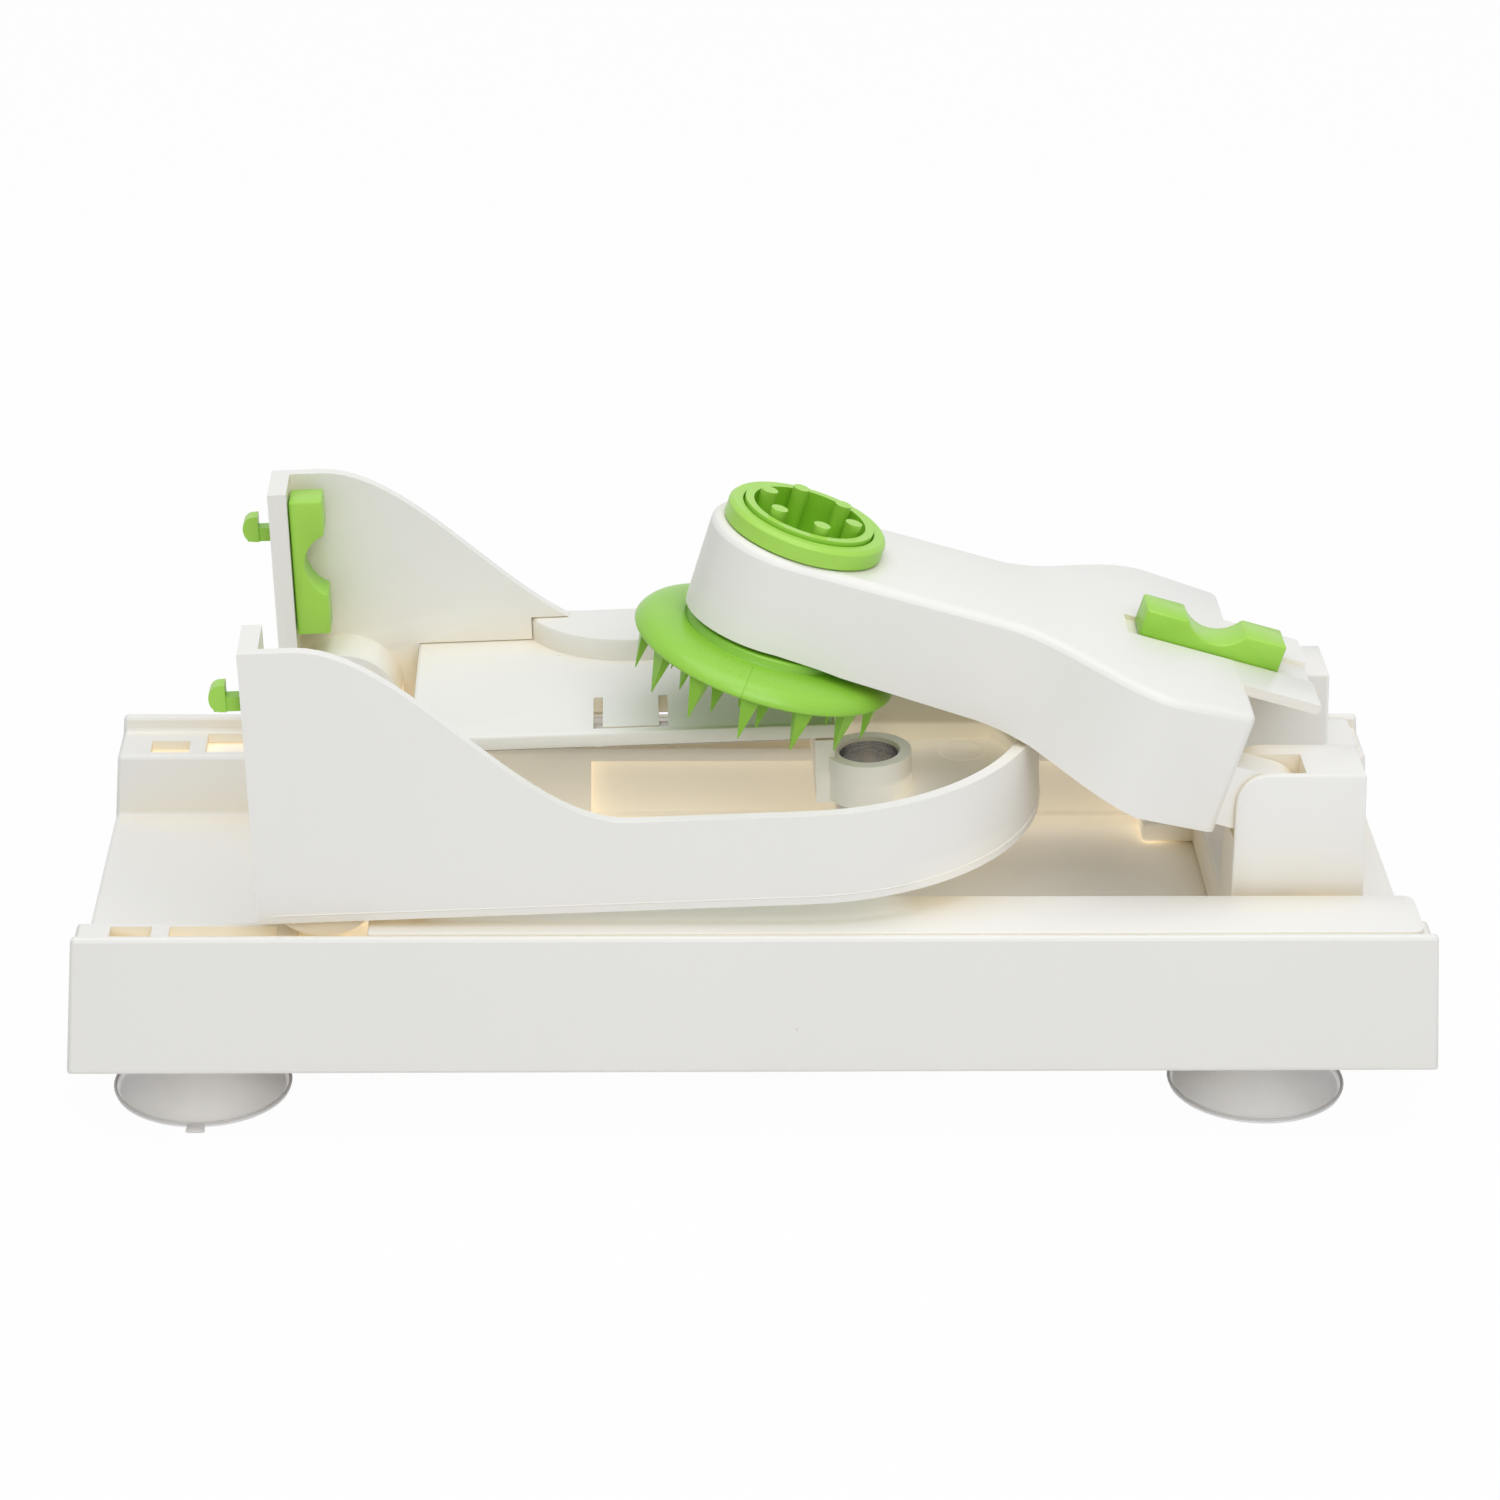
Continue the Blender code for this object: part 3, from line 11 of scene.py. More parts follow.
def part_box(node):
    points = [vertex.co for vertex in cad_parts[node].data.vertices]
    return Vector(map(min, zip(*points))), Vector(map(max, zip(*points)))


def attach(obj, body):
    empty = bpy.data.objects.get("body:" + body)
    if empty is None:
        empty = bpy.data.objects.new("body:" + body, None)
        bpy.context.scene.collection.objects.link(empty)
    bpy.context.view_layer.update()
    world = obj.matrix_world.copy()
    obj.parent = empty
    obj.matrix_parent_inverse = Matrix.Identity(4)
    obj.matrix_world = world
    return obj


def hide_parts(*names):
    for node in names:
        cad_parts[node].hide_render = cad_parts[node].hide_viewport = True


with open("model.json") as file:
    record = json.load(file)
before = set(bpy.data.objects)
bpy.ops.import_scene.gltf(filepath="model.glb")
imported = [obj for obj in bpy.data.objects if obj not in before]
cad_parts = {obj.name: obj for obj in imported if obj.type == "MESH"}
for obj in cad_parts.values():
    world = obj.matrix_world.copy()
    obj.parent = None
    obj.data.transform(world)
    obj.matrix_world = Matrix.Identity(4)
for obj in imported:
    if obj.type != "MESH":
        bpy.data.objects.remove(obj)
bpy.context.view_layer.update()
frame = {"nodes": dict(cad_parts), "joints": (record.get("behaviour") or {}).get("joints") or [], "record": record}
MM = 0.001


# Shader maths written as expressions on sockets
class Wire:
    """A shader socket whose Python operators add Math nodes."""

    def __init__(self, shading, socket):
        self.shading = shading
        self.socket = socket

    def maths(self, operation, first, second):
        return self.shading.node("Math", {"operation": operation}, {0: first, 1: second})

    def __add__(self, other):
        return self.maths("ADD", self, other)

    def __radd__(self, other):
        return self.maths("ADD", other, self)

    def __sub__(self, other):
        return self.maths("SUBTRACT", self, other)

    def __rsub__(self, other):
        return self.maths("SUBTRACT", other, self)

    def __mul__(self, other):
        return self.maths("MULTIPLY", self, other)

    def __rmul__(self, other):
        return self.maths("MULTIPLY", other, self)


class Shading:
    """The nodes of a material or of the world, under construction."""

    def __init__(self, tree):
        self.tree = tree

    def node(self, kind, settings=None, values=None, output=0):
        """Adds a node of a type, sets its settings first and then the values or links of its sockets."""
        made = self.tree.nodes.new("ShaderNode" + kind)
        for label, value in (settings or {}).items():
            setattr(made, label, value)
        for label, value in (values or {}).items():
            if isinstance(value, Wire):
                self.tree.links.new(value.socket, made.inputs[label])
            else:
                made.inputs[label].default_value = value
        return Wire(self, made.outputs[output])

    def place(self, scale=(1.0, 1.0, 1.0), turn=(0.0, 0.0, 0.0)):
        """Object coordinates, stretched and turned."""
        here = self.node("TexCoord", output="Object")
        return self.node("Mapping", {}, {"Vector": here, "Scale": scale, "Rotation": turn})

    def noise(self, per_metre, detail=2.0, roughness=0.5, where=None):
        """Soft random blotches, from 0 to 1, so many to a metre."""
        return self.node("TexNoise", {}, {"Vector": where or self.place(), "Scale": per_metre,
                                          "Detail": detail, "Roughness": roughness})

    def band(self, value, low, high):
        """0 below low and 1 above high, with a smooth step between."""
        return self.node("MapRange", {"interpolation_type": "SMOOTHSTEP"},
                         {"Value": value, "From Min": low, "From Max": high})

    def mix(self, share, first, second):
        """The first colour where share is 0 and the second where it is 1."""
        share_socket, first_socket, second_socket, mixed_colour = 0, 6, 7, 2
        first, second = (tone if isinstance(tone, Wire) else (*tone, 1.0) for tone in (first, second))
        return self.node("Mix", {"data_type": "RGBA"},
                         {share_socket: share, first_socket: first, second_socket: second}, mixed_colour)

    def bump(self, height, distance, strength, under=None):
        """Small relief from a height, laid over another relief where one is given."""
        values = {"Height": height, "Distance": distance, "Strength": strength}
        if under is not None:
            values["Normal"] = under
        return self.node("Bump", {}, values)

    def seen_directly(self):
        """1 for camera, mirror and see-through rays, 0 for the rays that light the object."""
        straight = self.node("LightPath", output="Is Camera Ray")
        mirrored = self.node("LightPath", output="Is Glossy Ray")
        through = self.node("LightPath", output="Is Transmission Ray")
        return self.node("Math", {"operation": "MINIMUM"}, {0: straight + mirrored + through, 1: 1.0})


class Finish(Shading):
    """A material under construction: one Principled shader and what feeds it."""

    def __init__(self, name, **constants):
        self.material = bpy.data.materials.new(name)
        self.material.use_nodes = True
        super().__init__(self.material.node_tree)
        self.shader = self.tree.nodes["Principled BSDF"]
        for label, value in constants.items():
            self.shader.inputs[label.replace("_", " ")].default_value = value

    def feed(self, label, wire):
        """Links a wire to the shader."""
        self.tree.links.new(wire.socket, self.shader.inputs[label])


# Colours
WARM_WHITE = (0.87, 0.865, 0.84)
IVORY_SHADE = (0.855, 0.85, 0.82)
# Painted shade: the darker, warmer colour that recesses of the white plastics go over to, also the colour of the
# painted emission on the slots' floors
PAINTED_SHADE_IVORY = (0.85, 0.78, 0.63)
# Painted light: the warm colour of the emission in the shaded inside under the frame
PAINTED_GLOW_WARM = (1.0, 0.88, 0.70)
NO_GLOW = (0.0, 0.0, 0.0)
APPLE_GREEN = (0.39, 0.71, 0.10)
GREEN_SHADE = (0.34, 0.67, 0.075)
# Painted shade: the darker colour that recesses of the green plastic go over to, also the colour of its faint
# painted emission
PAINTED_SHADE_GREEN = (0.20, 0.48, 0.02)
# Painted shade: the disc's greens are darker copies of the apple green, so that the lamp-lit disc renders darker
DISC_GREEN_PAINTED_DARKER = (0.30, 0.62, 0.065)
DISC_GREEN_SHADE = (0.27, 0.58, 0.05)
DISC_PAINTED_SHADE_GREEN = (0.17, 0.42, 0.02)
STEEL_GREY = (0.66, 0.66, 0.68)
CLEAR_GREY = (0.88, 0.87, 0.86)
CLEAR_EDGE_GREY = (0.60, 0.61, 0.68)

# Grain of the materials: how many to a metre, how high in metres, and the steps that pick out a part of it
CLOUDS_PER_METRE = 9.0
GRAIN_PER_METRE = 1400.0
PEEL_PER_METRE = 260.0
SPECKS_PER_METRE = 55.0
SPECK_CHANCE_PER_METRE = 37.0
DRAW_LINES_PER_METRE = 60.0
SMUDGES_PER_METRE = 140.0
HAZE_PER_METRE = 120.0
SWIRLS_PER_METRE = 35.0
SCRATCH_STRETCH = (30.0, 420.0, 420.0)
SCRATCHES_PER_STRETCH = 3.0
PEEL_HEIGHT = 0.04 * MM
GRAIN_HEIGHT = 0.012 * MM
SCRATCH_HEIGHT = 0.006 * MM
DRAW_LINE_HEIGHT = 0.01 * MM
SWIRL_HEIGHT = 0.08 * MM
SOFT_STEP = (0.3, 0.7)
SCRATCH_STEP = (0.62, 0.78)
SPECK_SIZE_STEP = (0.012, 0.028)
SPECK_CHANCE_STEP = (0.52, 0.56)
SPECK_SHARE = 0.35
SPECK_TONE = 0.55

# Recesses of the plastics: how far they reach, and the openness over which they take a painted shade and a faint
# emission, which is painted light
RECESS_REACH = 30 * MM
RECESS_PAINTED_SHADE_STEP = (0.1, 0.95)
RECESS_PAINTED_GLOW_STEP = (0.15, 1.0)

# Shaded inside of the folded machine, where the white plastics take a warm painted emission: where it fades along
# x, at its sides and below its ceiling
SHADE_FADES_IN = (-100 * MM, -88 * MM)
SHADE_FADES_OUT = (96 * MM, 112 * MM)
SHADE_SIDE = (50 * MM, 53 * MM)
CEILING_FADE = 1.6 * MM
FRAME_CEILING = 68 * MM
TRAY_CEILING = 53.2 * MM


def under_frame(finish, ceiling):
    """1 inside, under the folded frame and arm, and 0 past its ends and sides and above a ceiling."""
    here = finish.place()
    x, y, z = (finish.node("SeparateXYZ", {}, {"Vector": here}, axis) for axis in "XYZ")
    off_middle = finish.node("Math", {"operation": "ABSOLUTE"}, {0: y})
    along = finish.band(x, *SHADE_FADES_IN) * (1.0 - finish.band(x, *SHADE_FADES_OUT))
    across = 1.0 - finish.band(off_middle, *SHADE_SIDE)
    below = 1.0 - finish.band(z, ceiling - CEILING_FADE, ceiling)
    return along * across * below


def moulded_plastic(name, colour, shade, painted_recess_colour, roughness, seed, painted_glow, ceiling=None):
    """Injection moulded plastic: faint flow clouds, orange peel, fine rubbed scratches and a few specks.

    In its recesses the colour goes over to a darker, warmer colour, which is painted shade. A faint emission
    lights them, painted light that stands in for light passing through the thin milky plastic. With a ceiling that
    emission is warm and stays in the shaded inside of the machine.
    """
    finish = Finish(name, IOR=1.48, Specular_IOR_Level=0.42, Emission_Strength=painted_glow)
    clouds = finish.noise(CLOUDS_PER_METRE + seed, detail=3.0)
    grain = finish.noise(GRAIN_PER_METRE)
    peel = finish.noise(PEEL_PER_METRE, detail=3.0)
    scratch_place = finish.place(SCRATCH_STRETCH, turn=(0.0, 0.35, 0.5 + seed))
    streaks = finish.noise(SCRATCHES_PER_STRETCH, detail=6.0, roughness=0.75, where=scratch_place)
    scratches = finish.band(streaks, *SCRATCH_STEP)
    here = finish.place()
    cell = finish.node("TexVoronoi", {}, {"Vector": here, "Scale": SPECKS_PER_METRE}, "Distance")
    chance = finish.noise(SPECK_CHANCE_PER_METRE + seed, detail=0.0)
    speck = (1.0 - finish.band(cell, *SPECK_SIZE_STEP)) * finish.band(chance, *SPECK_CHANCE_STEP)
    # Painted shade and painted light: where ambient occlusion finds a recess, the colour goes darker and warmer
    # and a faint emission lights it
    openness = finish.node("AmbientOcclusion", {"samples": 8}, {"Distance": RECESS_REACH}, "AO")
    recess = 1.0 - finish.band(openness, *RECESS_PAINTED_GLOW_STEP)
    # With a ceiling the painted emission is warm and kept to the shaded inside under the frame and arm
    if ceiling:
        finish.feed("Emission Color", finish.mix(recess * under_frame(finish, ceiling), NO_GLOW, PAINTED_GLOW_WARM))
    else:
        finish.feed("Emission Color", finish.mix(recess, NO_GLOW, painted_recess_colour))
    tint = finish.mix(finish.band(clouds, *SOFT_STEP), colour, shade)
    tint = finish.mix(finish.band(openness, *RECESS_PAINTED_SHADE_STEP), painted_recess_colour, tint)
    finish.feed("Base Color", finish.mix(speck * SPECK_SHARE, tint, tuple(SPECK_TONE * v for v in shade)))
    finish.feed("Roughness", roughness + 0.06 * clouds + 0.10 * scratches + 0.03 * grain)
    relief = finish.bump(peel, PEEL_HEIGHT, 0.5)
    relief = finish.bump(grain, GRAIN_HEIGHT, 0.5, relief)
    finish.feed("Normal", finish.bump(scratches, SCRATCH_HEIGHT, 0.4, relief))
    return finish.material


def drawn_steel(name, stretch):
    """Stainless steel with fine draw lines along one way and soft smudges."""
    finish = Finish(name, Metallic=1.0, IOR=1.5)
    lines = finish.noise(DRAW_LINES_PER_METRE, detail=4.0, roughness=0.7, where=finish.place(stretch))
    smudge = finish.noise(SMUDGES_PER_METRE)
    darker = tuple(0.93 * v for v in STEEL_GREY)
    finish.feed("Base Color", finish.mix(finish.band(lines, *SOFT_STEP), darker, STEEL_GREY))
    finish.feed("Roughness", 0.14 + 0.16 * lines + 0.08 * smudge)
    finish.feed("Normal", finish.bump(lines, DRAW_LINE_HEIGHT, 0.5))
    return finish.material


def soft_vinyl(name):
    """Clear soft vinyl: see-through face on, greyer at its edges, with faint haze and flow swirls."""
    finish = Finish(name, IOR=1.46, Specular_IOR_Level=0.6)
    haze = finish.noise(HAZE_PER_METRE, detail=3.0)
    swirl = finish.noise(SWIRLS_PER_METRE, detail=4.0, roughness=0.6)
    edge_on = finish.node("LayerWeight", {}, {"Blend": 0.35}, "Facing")
    finish.feed("Base Color", finish.mix(edge_on, CLEAR_GREY, CLEAR_EDGE_GREY))
    finish.feed("Alpha", 0.42 + 0.10 * haze + 0.42 * edge_on)
    finish.feed("Roughness", 0.12 + 0.10 * swirl)
    finish.feed("Normal", finish.bump(swirl, SWIRL_HEIGHT, 0.4))
    return finish.material


# Finishes
# The glow strengths below are each plastic's painted emission in its recesses, which is painted light
IVORY = moulded_plastic("warm white plastic", WARM_WHITE, IVORY_SHADE, PAINTED_SHADE_IVORY,
                        roughness=0.33, seed=0.0, painted_glow=0.22, ceiling=FRAME_CEILING)
# Painted light: the tray's plastic takes a stronger warm emission in the shaded inside than the frame's
TRAY_IVORY = moulded_plastic("warm white plastic, painted emission inside", WARM_WHITE, IVORY_SHADE, PAINTED_SHADE_IVORY,
                             roughness=0.33, seed=0.6, painted_glow=0.31, ceiling=TRAY_CEILING)
# Painted light: the slots' plastic has the strongest emission in its recesses, so that the slots show light
SLOT_IVORY_PAINTED_GLOW = moulded_plastic("warm white plastic, in the slots", WARM_WHITE, IVORY_SHADE, PAINTED_SHADE_IVORY,
                             roughness=0.35, seed=0.3, painted_glow=0.45)
GREEN = moulded_plastic("apple green plastic", APPLE_GREEN, GREEN_SHADE, PAINTED_SHADE_GREEN,
                        roughness=0.27, seed=1.7, painted_glow=0.06)
# Painted shade: the disc is the apple green plastic, in darker copies of its colours
DISC_GREEN = moulded_plastic("apple green plastic of the disc", DISC_GREEN_PAINTED_DARKER, DISC_GREEN_SHADE,
                             DISC_PAINTED_SHADE_GREEN, roughness=0.24, seed=2.3, painted_glow=0.03)
STEEL = drawn_steel("stainless steel", stretch=(1.0, 1.0, 30.0))
BLADE_STEEL = drawn_steel("ground blade steel", stretch=(40.0, 1.0, 1.0))
VINYL = soft_vinyl("clear vinyl")
SLOT_FINISH = {"ivory_plastic": IVORY, "green_plastic": GREEN, "steel": STEEL, "clear_vinyl": VINYL}


# Places of the parts, from their joints and pins
def local_frame(origin, tilt):
    """The place of a part turned about Y: its own x, y and z in the object's frame."""
    return Matrix.Translation(origin) @ Matrix.Rotation(tilt, 4, "Y")


def joint(name):
    """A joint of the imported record."""
    return next(j for j in frame["joints"] if j["name"] == name)


def middle(node):
    """The middle of a node's box."""
    low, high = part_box(node)
    return (low + high) / 2


DISC_AXIS = joint("disc_spin")["axis"]
DISC_PLACE = local_frame(joint("disc_spin")["pos_m"], atan2(DISC_AXIS[0], DISC_AXIS[2]))
FRAME_AXIS = joint("foot_latch_front_slide")["axis"]
FRAME_PIVOT = middle("frame_pivot_pin_front")
FRAME_PLACE = local_frame((FRAME_PIVOT.x, 0.0, FRAME_PIVOT.z), atan2(FRAME_AXIS[0], FRAME_AXIS[2]))

# Heights and lengths in the blade frame's own millimetres, from its pivot
FRAME_FOOT = -9.85
FRAME_BACK = -15.0
FRAME_HALF = 56.8
ARCH_CENTRE = 110.2
ARCH_FLOOR = -7.55
CORER_U = (FRAME_PLACE.inverted() @ middle("corer_tube")).x / MM

# Changes of the CAD nodes' shapes, in millimetres
ARM_RIM = -24.5
ARM_RIM_DEPTH = 0.6
ARM_RIM_PLACES = (0.0, 10.0, 16.0, 22.0)
ARM_RIM_LIFTS = (1.5, 0.9, 0.25, 0.0)
FRONT_PAD_DROP = 4.4
BACK_PAD_DROP = 1.4
PAD_THINNING = 1.2
PAD_INNER_DEPTH = 0.7
PAD_TOP_DEPTH = 0.8
WEB_START = CORER_U + 9.4
WEB_END = CORER_U + 15.6
WEB_HALF = 1.3


def raise_arm_rim(local):
    """The arm's lower rim lifted by 1.5 mm round the disc, and by less and less towards the tail."""
    lift = np.interp(local[:, 0], ARM_RIM_PLACES, ARM_RIM_LIFTS)
    local[:, 2] += np.where(local[:, 2] < ARM_RIM + ARM_RIM_DEPTH, lift, 0.0)
    return local


def lower_pad(drop):
    """A change that brings a foot pad's top down and moves its inner side outwards."""
    def change(local):
        top = local[:, 2].max()
        from_middle = np.abs(local[:, 1])
        inner = from_middle < from_middle.min() + PAD_INNER_DEPTH
        local[:, 1] += np.where(inner, np.sign(local[:, 1]) * PAD_THINNING, 0.0)
        local[:, 2] -= np.where(local[:, 2] > top - PAD_TOP_DEPTH, drop, 0.0)
        local[:, 2] = np.minimum(local[:, 2], top - drop)
        return local
    return change


def sink_web(local):
    """The web beside the corer ring brought down to the arch's floor."""
    web = (local[:, 0] > WEB_START) & (local[:, 0] < WEB_END) & (np.abs(local[:, 1]) < WEB_HALF)
    local[:, 2] = np.where(web & (local[:, 2] > ARCH_FLOOR), ARCH_FLOOR, local[:, 2])
    return local


# For a changed node: what changes it, the place it is told in, and where along x its mesh is cut first
CHANGES = {
    "arm_shell": (raise_arm_rim, DISC_PLACE, ARM_RIM_PLACES),
    "blade_frame": (sink_web, FRAME_PLACE, ()),
    "foot_latch_front": (lower_pad(FRONT_PAD_DROP), FRAME_PLACE, ()),
    "foot_latch_back": (lower_pad(BACK_PAD_DROP), FRAME_PLACE, ()),
}

# Skins and surfaces: what counts as a crease, as flat, as one corner and as a rounding
CREASE = radians(32)
EASED_EDGE = 0.25 * MM
FLAT_WITHIN = radians(0.5)
SAME_CORNER = 0.01 * MM
SAME_POINT = 0.002 * MM
NO_LENGTH = 0.001 * MM
LARGEST_ROUNDING = 12 * MM * MM


def carried(points, place):
    """Rows of points carried by a place."""
    return points @ np.array(place.to_3x3()).T + np.array(place.translation)


def reshaped(mesh, place, change):
    """Points of a mesh changed in a part's own frame, in millimetres."""
    spots = np.empty(3 * len(mesh.vertices))
    mesh.vertices.foreach_get("co", spots)
    local = carried(spots.reshape(-1, 3), place.inverted()) / MM
    mesh.vertices.foreach_set("co", carried(change(local) * MM, place).ravel())


def merged_copy(node, join_flats, place, cuts):
    """A CAD node's mesh with its doubled corners merged, its flats joined if asked, and cut across x."""
    mesh = frame["nodes"][node].data.copy()
    mesh.name = node + "_skin"
    merged = bmesh.new()
    merged.from_mesh(mesh)
    bmesh.ops.remove_doubles(merged, verts=merged.verts, dist=SAME_CORNER)
    bmesh.ops.recalc_face_normals(merged, faces=merged.faces)
    if join_flats:
        bmesh.ops.dissolve_limit(merged, angle_limit=FLAT_WITHIN, verts=merged.verts, edges=merged.edges)
    for cut in cuts:
        everything = merged.verts[:] + merged.edges[:] + merged.faces[:]
        bmesh.ops.bisect_plane(merged, geom=everything, plane_co=place @ Vector((cut * MM, 0.0, 0.0)),
                               plane_no=place.to_3x3() @ Vector((1.0, 0.0, 0.0)))
    merged.to_mesh(mesh)
    merged.free()
    return mesh


def ease_edges(piece, width):
    """Small round edges wherever two faces meet at more than the crease angle."""
    bevel = piece.modifiers.new("eased edges", "BEVEL")
    bevel.width = width
    bevel.segments = 2
    bevel.limit_method = "ANGLE"
    bevel.angle_limit = CREASE
    bevel.harden_normals = True
    bevel.use_clamp_overlap = True


def skin(node, edge, material):
    """A piece that replaces a CAD node: its merged copy, reshaped as CHANGES says, with eased edges.

    With an edge of 0 the copy keeps its faces and corners, and only its small faces are shaded smooth.
    """
    change, place, cuts = CHANGES.get(node, (None, None, ()))
    mesh = merged_copy(node, edge > 0, place, cuts)
    if change:
        reshaped(mesh, place, change)
    mesh.shade_smooth()
    mesh.set_sharp_from_angle(angle=CREASE)
    if not edge:
        mesh.polygons.foreach_set("use_smooth", [face.area < LARGEST_ROUNDING for face in mesh.polygons])
    piece = bpy.data.objects.new(node + "_skin", mesh)
    bpy.context.scene.collection.objects.link(piece)
    if edge:
        ease_edges(piece, edge)
    slot = next(s["material_slot"] for s in frame["record"]["subparts"] if s["node"] == node)
    mesh.materials.clear()
    mesh.materials.append(material or SLOT_FINISH[slot])
    body = next(b for b, members in frame["record"]["behaviour"]["bodies"].items() if node in members)
    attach(piece, body)
    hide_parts(node)


def refinish(node, material):
    """A CAD node that stays as it is, in a finer material."""
    for holder in frame["nodes"][node].material_slots:
        holder.material = material


# Surfaces worked out on a grid
def surface(name, points, place, wrap=(False, False), material=None, body="base", slot="ivory_plastic"):
    """A mesh through a grid of points, in metres, that may close along its rows and its columns."""
    rows, columns = points.shape[:2]
    i, j = np.meshgrid(np.arange(rows - (not wrap[0])), np.arange(columns - (not wrap[1])), indexing="ij")
    down, across = (i + 1) % rows, (j + 1) % columns
    quads = np.stack([i * columns + j, down * columns + j, down * columns + across, i * columns + across], -1)
    mesh = bpy.data.meshes.new(name)
    mesh.from_pydata(carried(points.reshape(-1, 3), place).tolist(), [], quads.reshape(-1, 4).tolist())
    closed = bmesh.new()
    closed.from_mesh(mesh)
    bmesh.ops.remove_doubles(closed, verts=closed.verts, dist=SAME_POINT)
    bmesh.ops.dissolve_degenerate(closed, edges=closed.edges, dist=NO_LENGTH)
    bmesh.ops.recalc_face_normals(closed, faces=closed.faces)
    closed.to_mesh(mesh)
    closed.free()
    mesh.shade_smooth()
    mesh.set_sharp_from_angle(angle=CREASE)
    mesh.materials.append(material or SLOT_FINISH[slot])
    piece = bpy.data.objects.new(name, mesh)
    bpy.context.scene.collection.objects.link(piece)
    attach(piece, body)
    return piece


def lathe(name, profile, place, steps=120, **how):
    """A profile of (radius, height) turned about Z: x = r cos a, y = r sin a, with a over a full turn."""
    outline = np.array(profile, float) * MM
    angle = np.linspace(0.0, 2 * pi, steps, endpoint=False)
    r, z = outline[:, :1], outline[:, 1:]
    points = np.stack([r * np.cos(angle), r * np.sin(angle), z + 0.0 * angle], -1)
    return surface(name, points, place, wrap=(False, True), **how)


def rounded(centre, radius, start, end, count):
    """Points of an arc in a profile, with its angles in degrees."""
    turn = np.radians(np.linspace(start, end, count))
    return [(centre[0] + radius * cos(a), centre[1] + radius * sin(a)) for a in turn]


def circle(centre, radius, height, count):
    """Points of a level circle, without the last one, which is the first again."""
    return [(centre[0] + radius * cos(a), centre[1] + radius * sin(a), height)
            for a in np.linspace(0, 2 * pi, count + 1)[:-1]]


def bead(name, path, radius, place, sides=8, closed=False, **how):
    """A round bead along a path: each point p grows a ring p + r (n cos a + b sin a) across the path."""
    line = np.array(path, float) * MM
    ahead = np.gradient(line, axis=0)
    ahead /= np.linalg.norm(ahead, axis=1)[:, None]
    side = np.cross(ahead, (0.0, 0.0, 1.0))
    side /= np.linalg.norm(side, axis=1)[:, None]
    up = np.cross(side, ahead)
    angle = np.linspace(0.0, 2 * pi, sides, endpoint=False)[None, :, None]
    size = np.full(len(line), radius * MM)
    if not closed:
        size[[0, -1]] = 0.0
    ring = side[:, None] * np.cos(angle) + up[:, None] * np.sin(angle)
    points = line[:, None] + size[:, None, None] * ring
    surface(name, points, place, wrap=(closed, True), **how)


def slab(name, low, high, place, **how):
    """A flat block: a four-cornered ring carried along x from one end to the other and closed at both."""
    low, high = np.array(low, float), np.array(high, float)
    centre, half = (low + high) / 2, (high - low) / 2
    share = np.array([0.0, 1.0, 1.0, 0.0])[:, None]
    x = np.array([low[0], low[0], high[0], high[0]])[:, None] + np.zeros((1, 4))
    y = centre[1] + half[1] * share * np.array([[1.0, 1.0, -1.0, -1.0]])
    z = centre[2] + half[2] * share * np.array([[-1.0, 1.0, 1.0, -1.0]])
    surface(name, np.stack([x, y, z], -1) * MM, place, wrap=(False, True), **how)


# Spiked disc, turned smooth, and its rings of flat-sided spikes: radius, number and first turn of each
HUB_FACE = -23.95
HUB_FLOOR = -24.8
HUB_RING_INNER = 17.8
HUB_RING_CHAMFER = 0.2
HUB_RING_BEND = 19.4
HUB_RING_ROUNDING = 0.7
HUB_RING_FOOT = 20.2
GROOVE_RADIUS = 20.45
GROOVE_DEPTH = 0.3
DISC_TOP = -25.8
DISC_FOOT = -30.4
CROWN = [(20.9, -25.85), (24.2, -26.25), (27.2, -26.85), (28.8, -27.35), (29.9, -27.95), (30.7, -28.7),
         (31.3, -29.5), (31.62, -30.15), (31.7, -30.6), (31.5, -30.95), (31.0, -31.05), (29.5, -30.7),
         (26.0, -30.4)]
SEAM_TURN = radians(258)
SEAM_POINTS = 10
SEAM_RADIUS = 0.12
BORE = 6.3
BORE_END = -27.6
SCREW_BORE = 2.1
SPIKE_ROOT = DISC_FOOT + 0.6
SPIKE_TIP = -41.8
SPIKE_HALF_WIDTH = 2.5
SPIKE_HALF_DEPTH = 1.7
SPIKE_STEPS = (0.0, 0.0, 0.35, 0.7, 0.94, 1.0, 1.0)
SPIKE_SHARES = (0.0, 1.0, 0.66, 0.33, 0.10, 0.05, 0.0)
SPIKE_RINGS = ((28.4, 14, radians(262)), (19.6, 11, radians(239)), (10.5, 5, radians(252)))
ON_DISC = {"material": DISC_GREEN, "body": "disc", "slot": "green_plastic"}


def spike(radius, turn):
    """A slim pyramid: its oblong section shrinks about as 1 - t, with t 0 at the root and 1 at the tip."""
    t = np.array(SPIKE_STEPS)
    share = np.array(SPIKE_SHARES)[:, None]
    across = SPIKE_HALF_DEPTH * np.array([1.0, -1.0, -1.0, 1.0]) * share
    along = SPIKE_HALF_WIDTH * np.array([1.0, 1.0, -1.0, -1.0]) * share
    height = (SPIKE_ROOT + (SPIKE_TIP - SPIKE_ROOT) * t)[:, None] + 0.0 * across
    x, y = radius + across, along
    return np.stack([x * cos(turn) - y * sin(turn), x * sin(turn) + y * cos(turn), height], -1) * MM


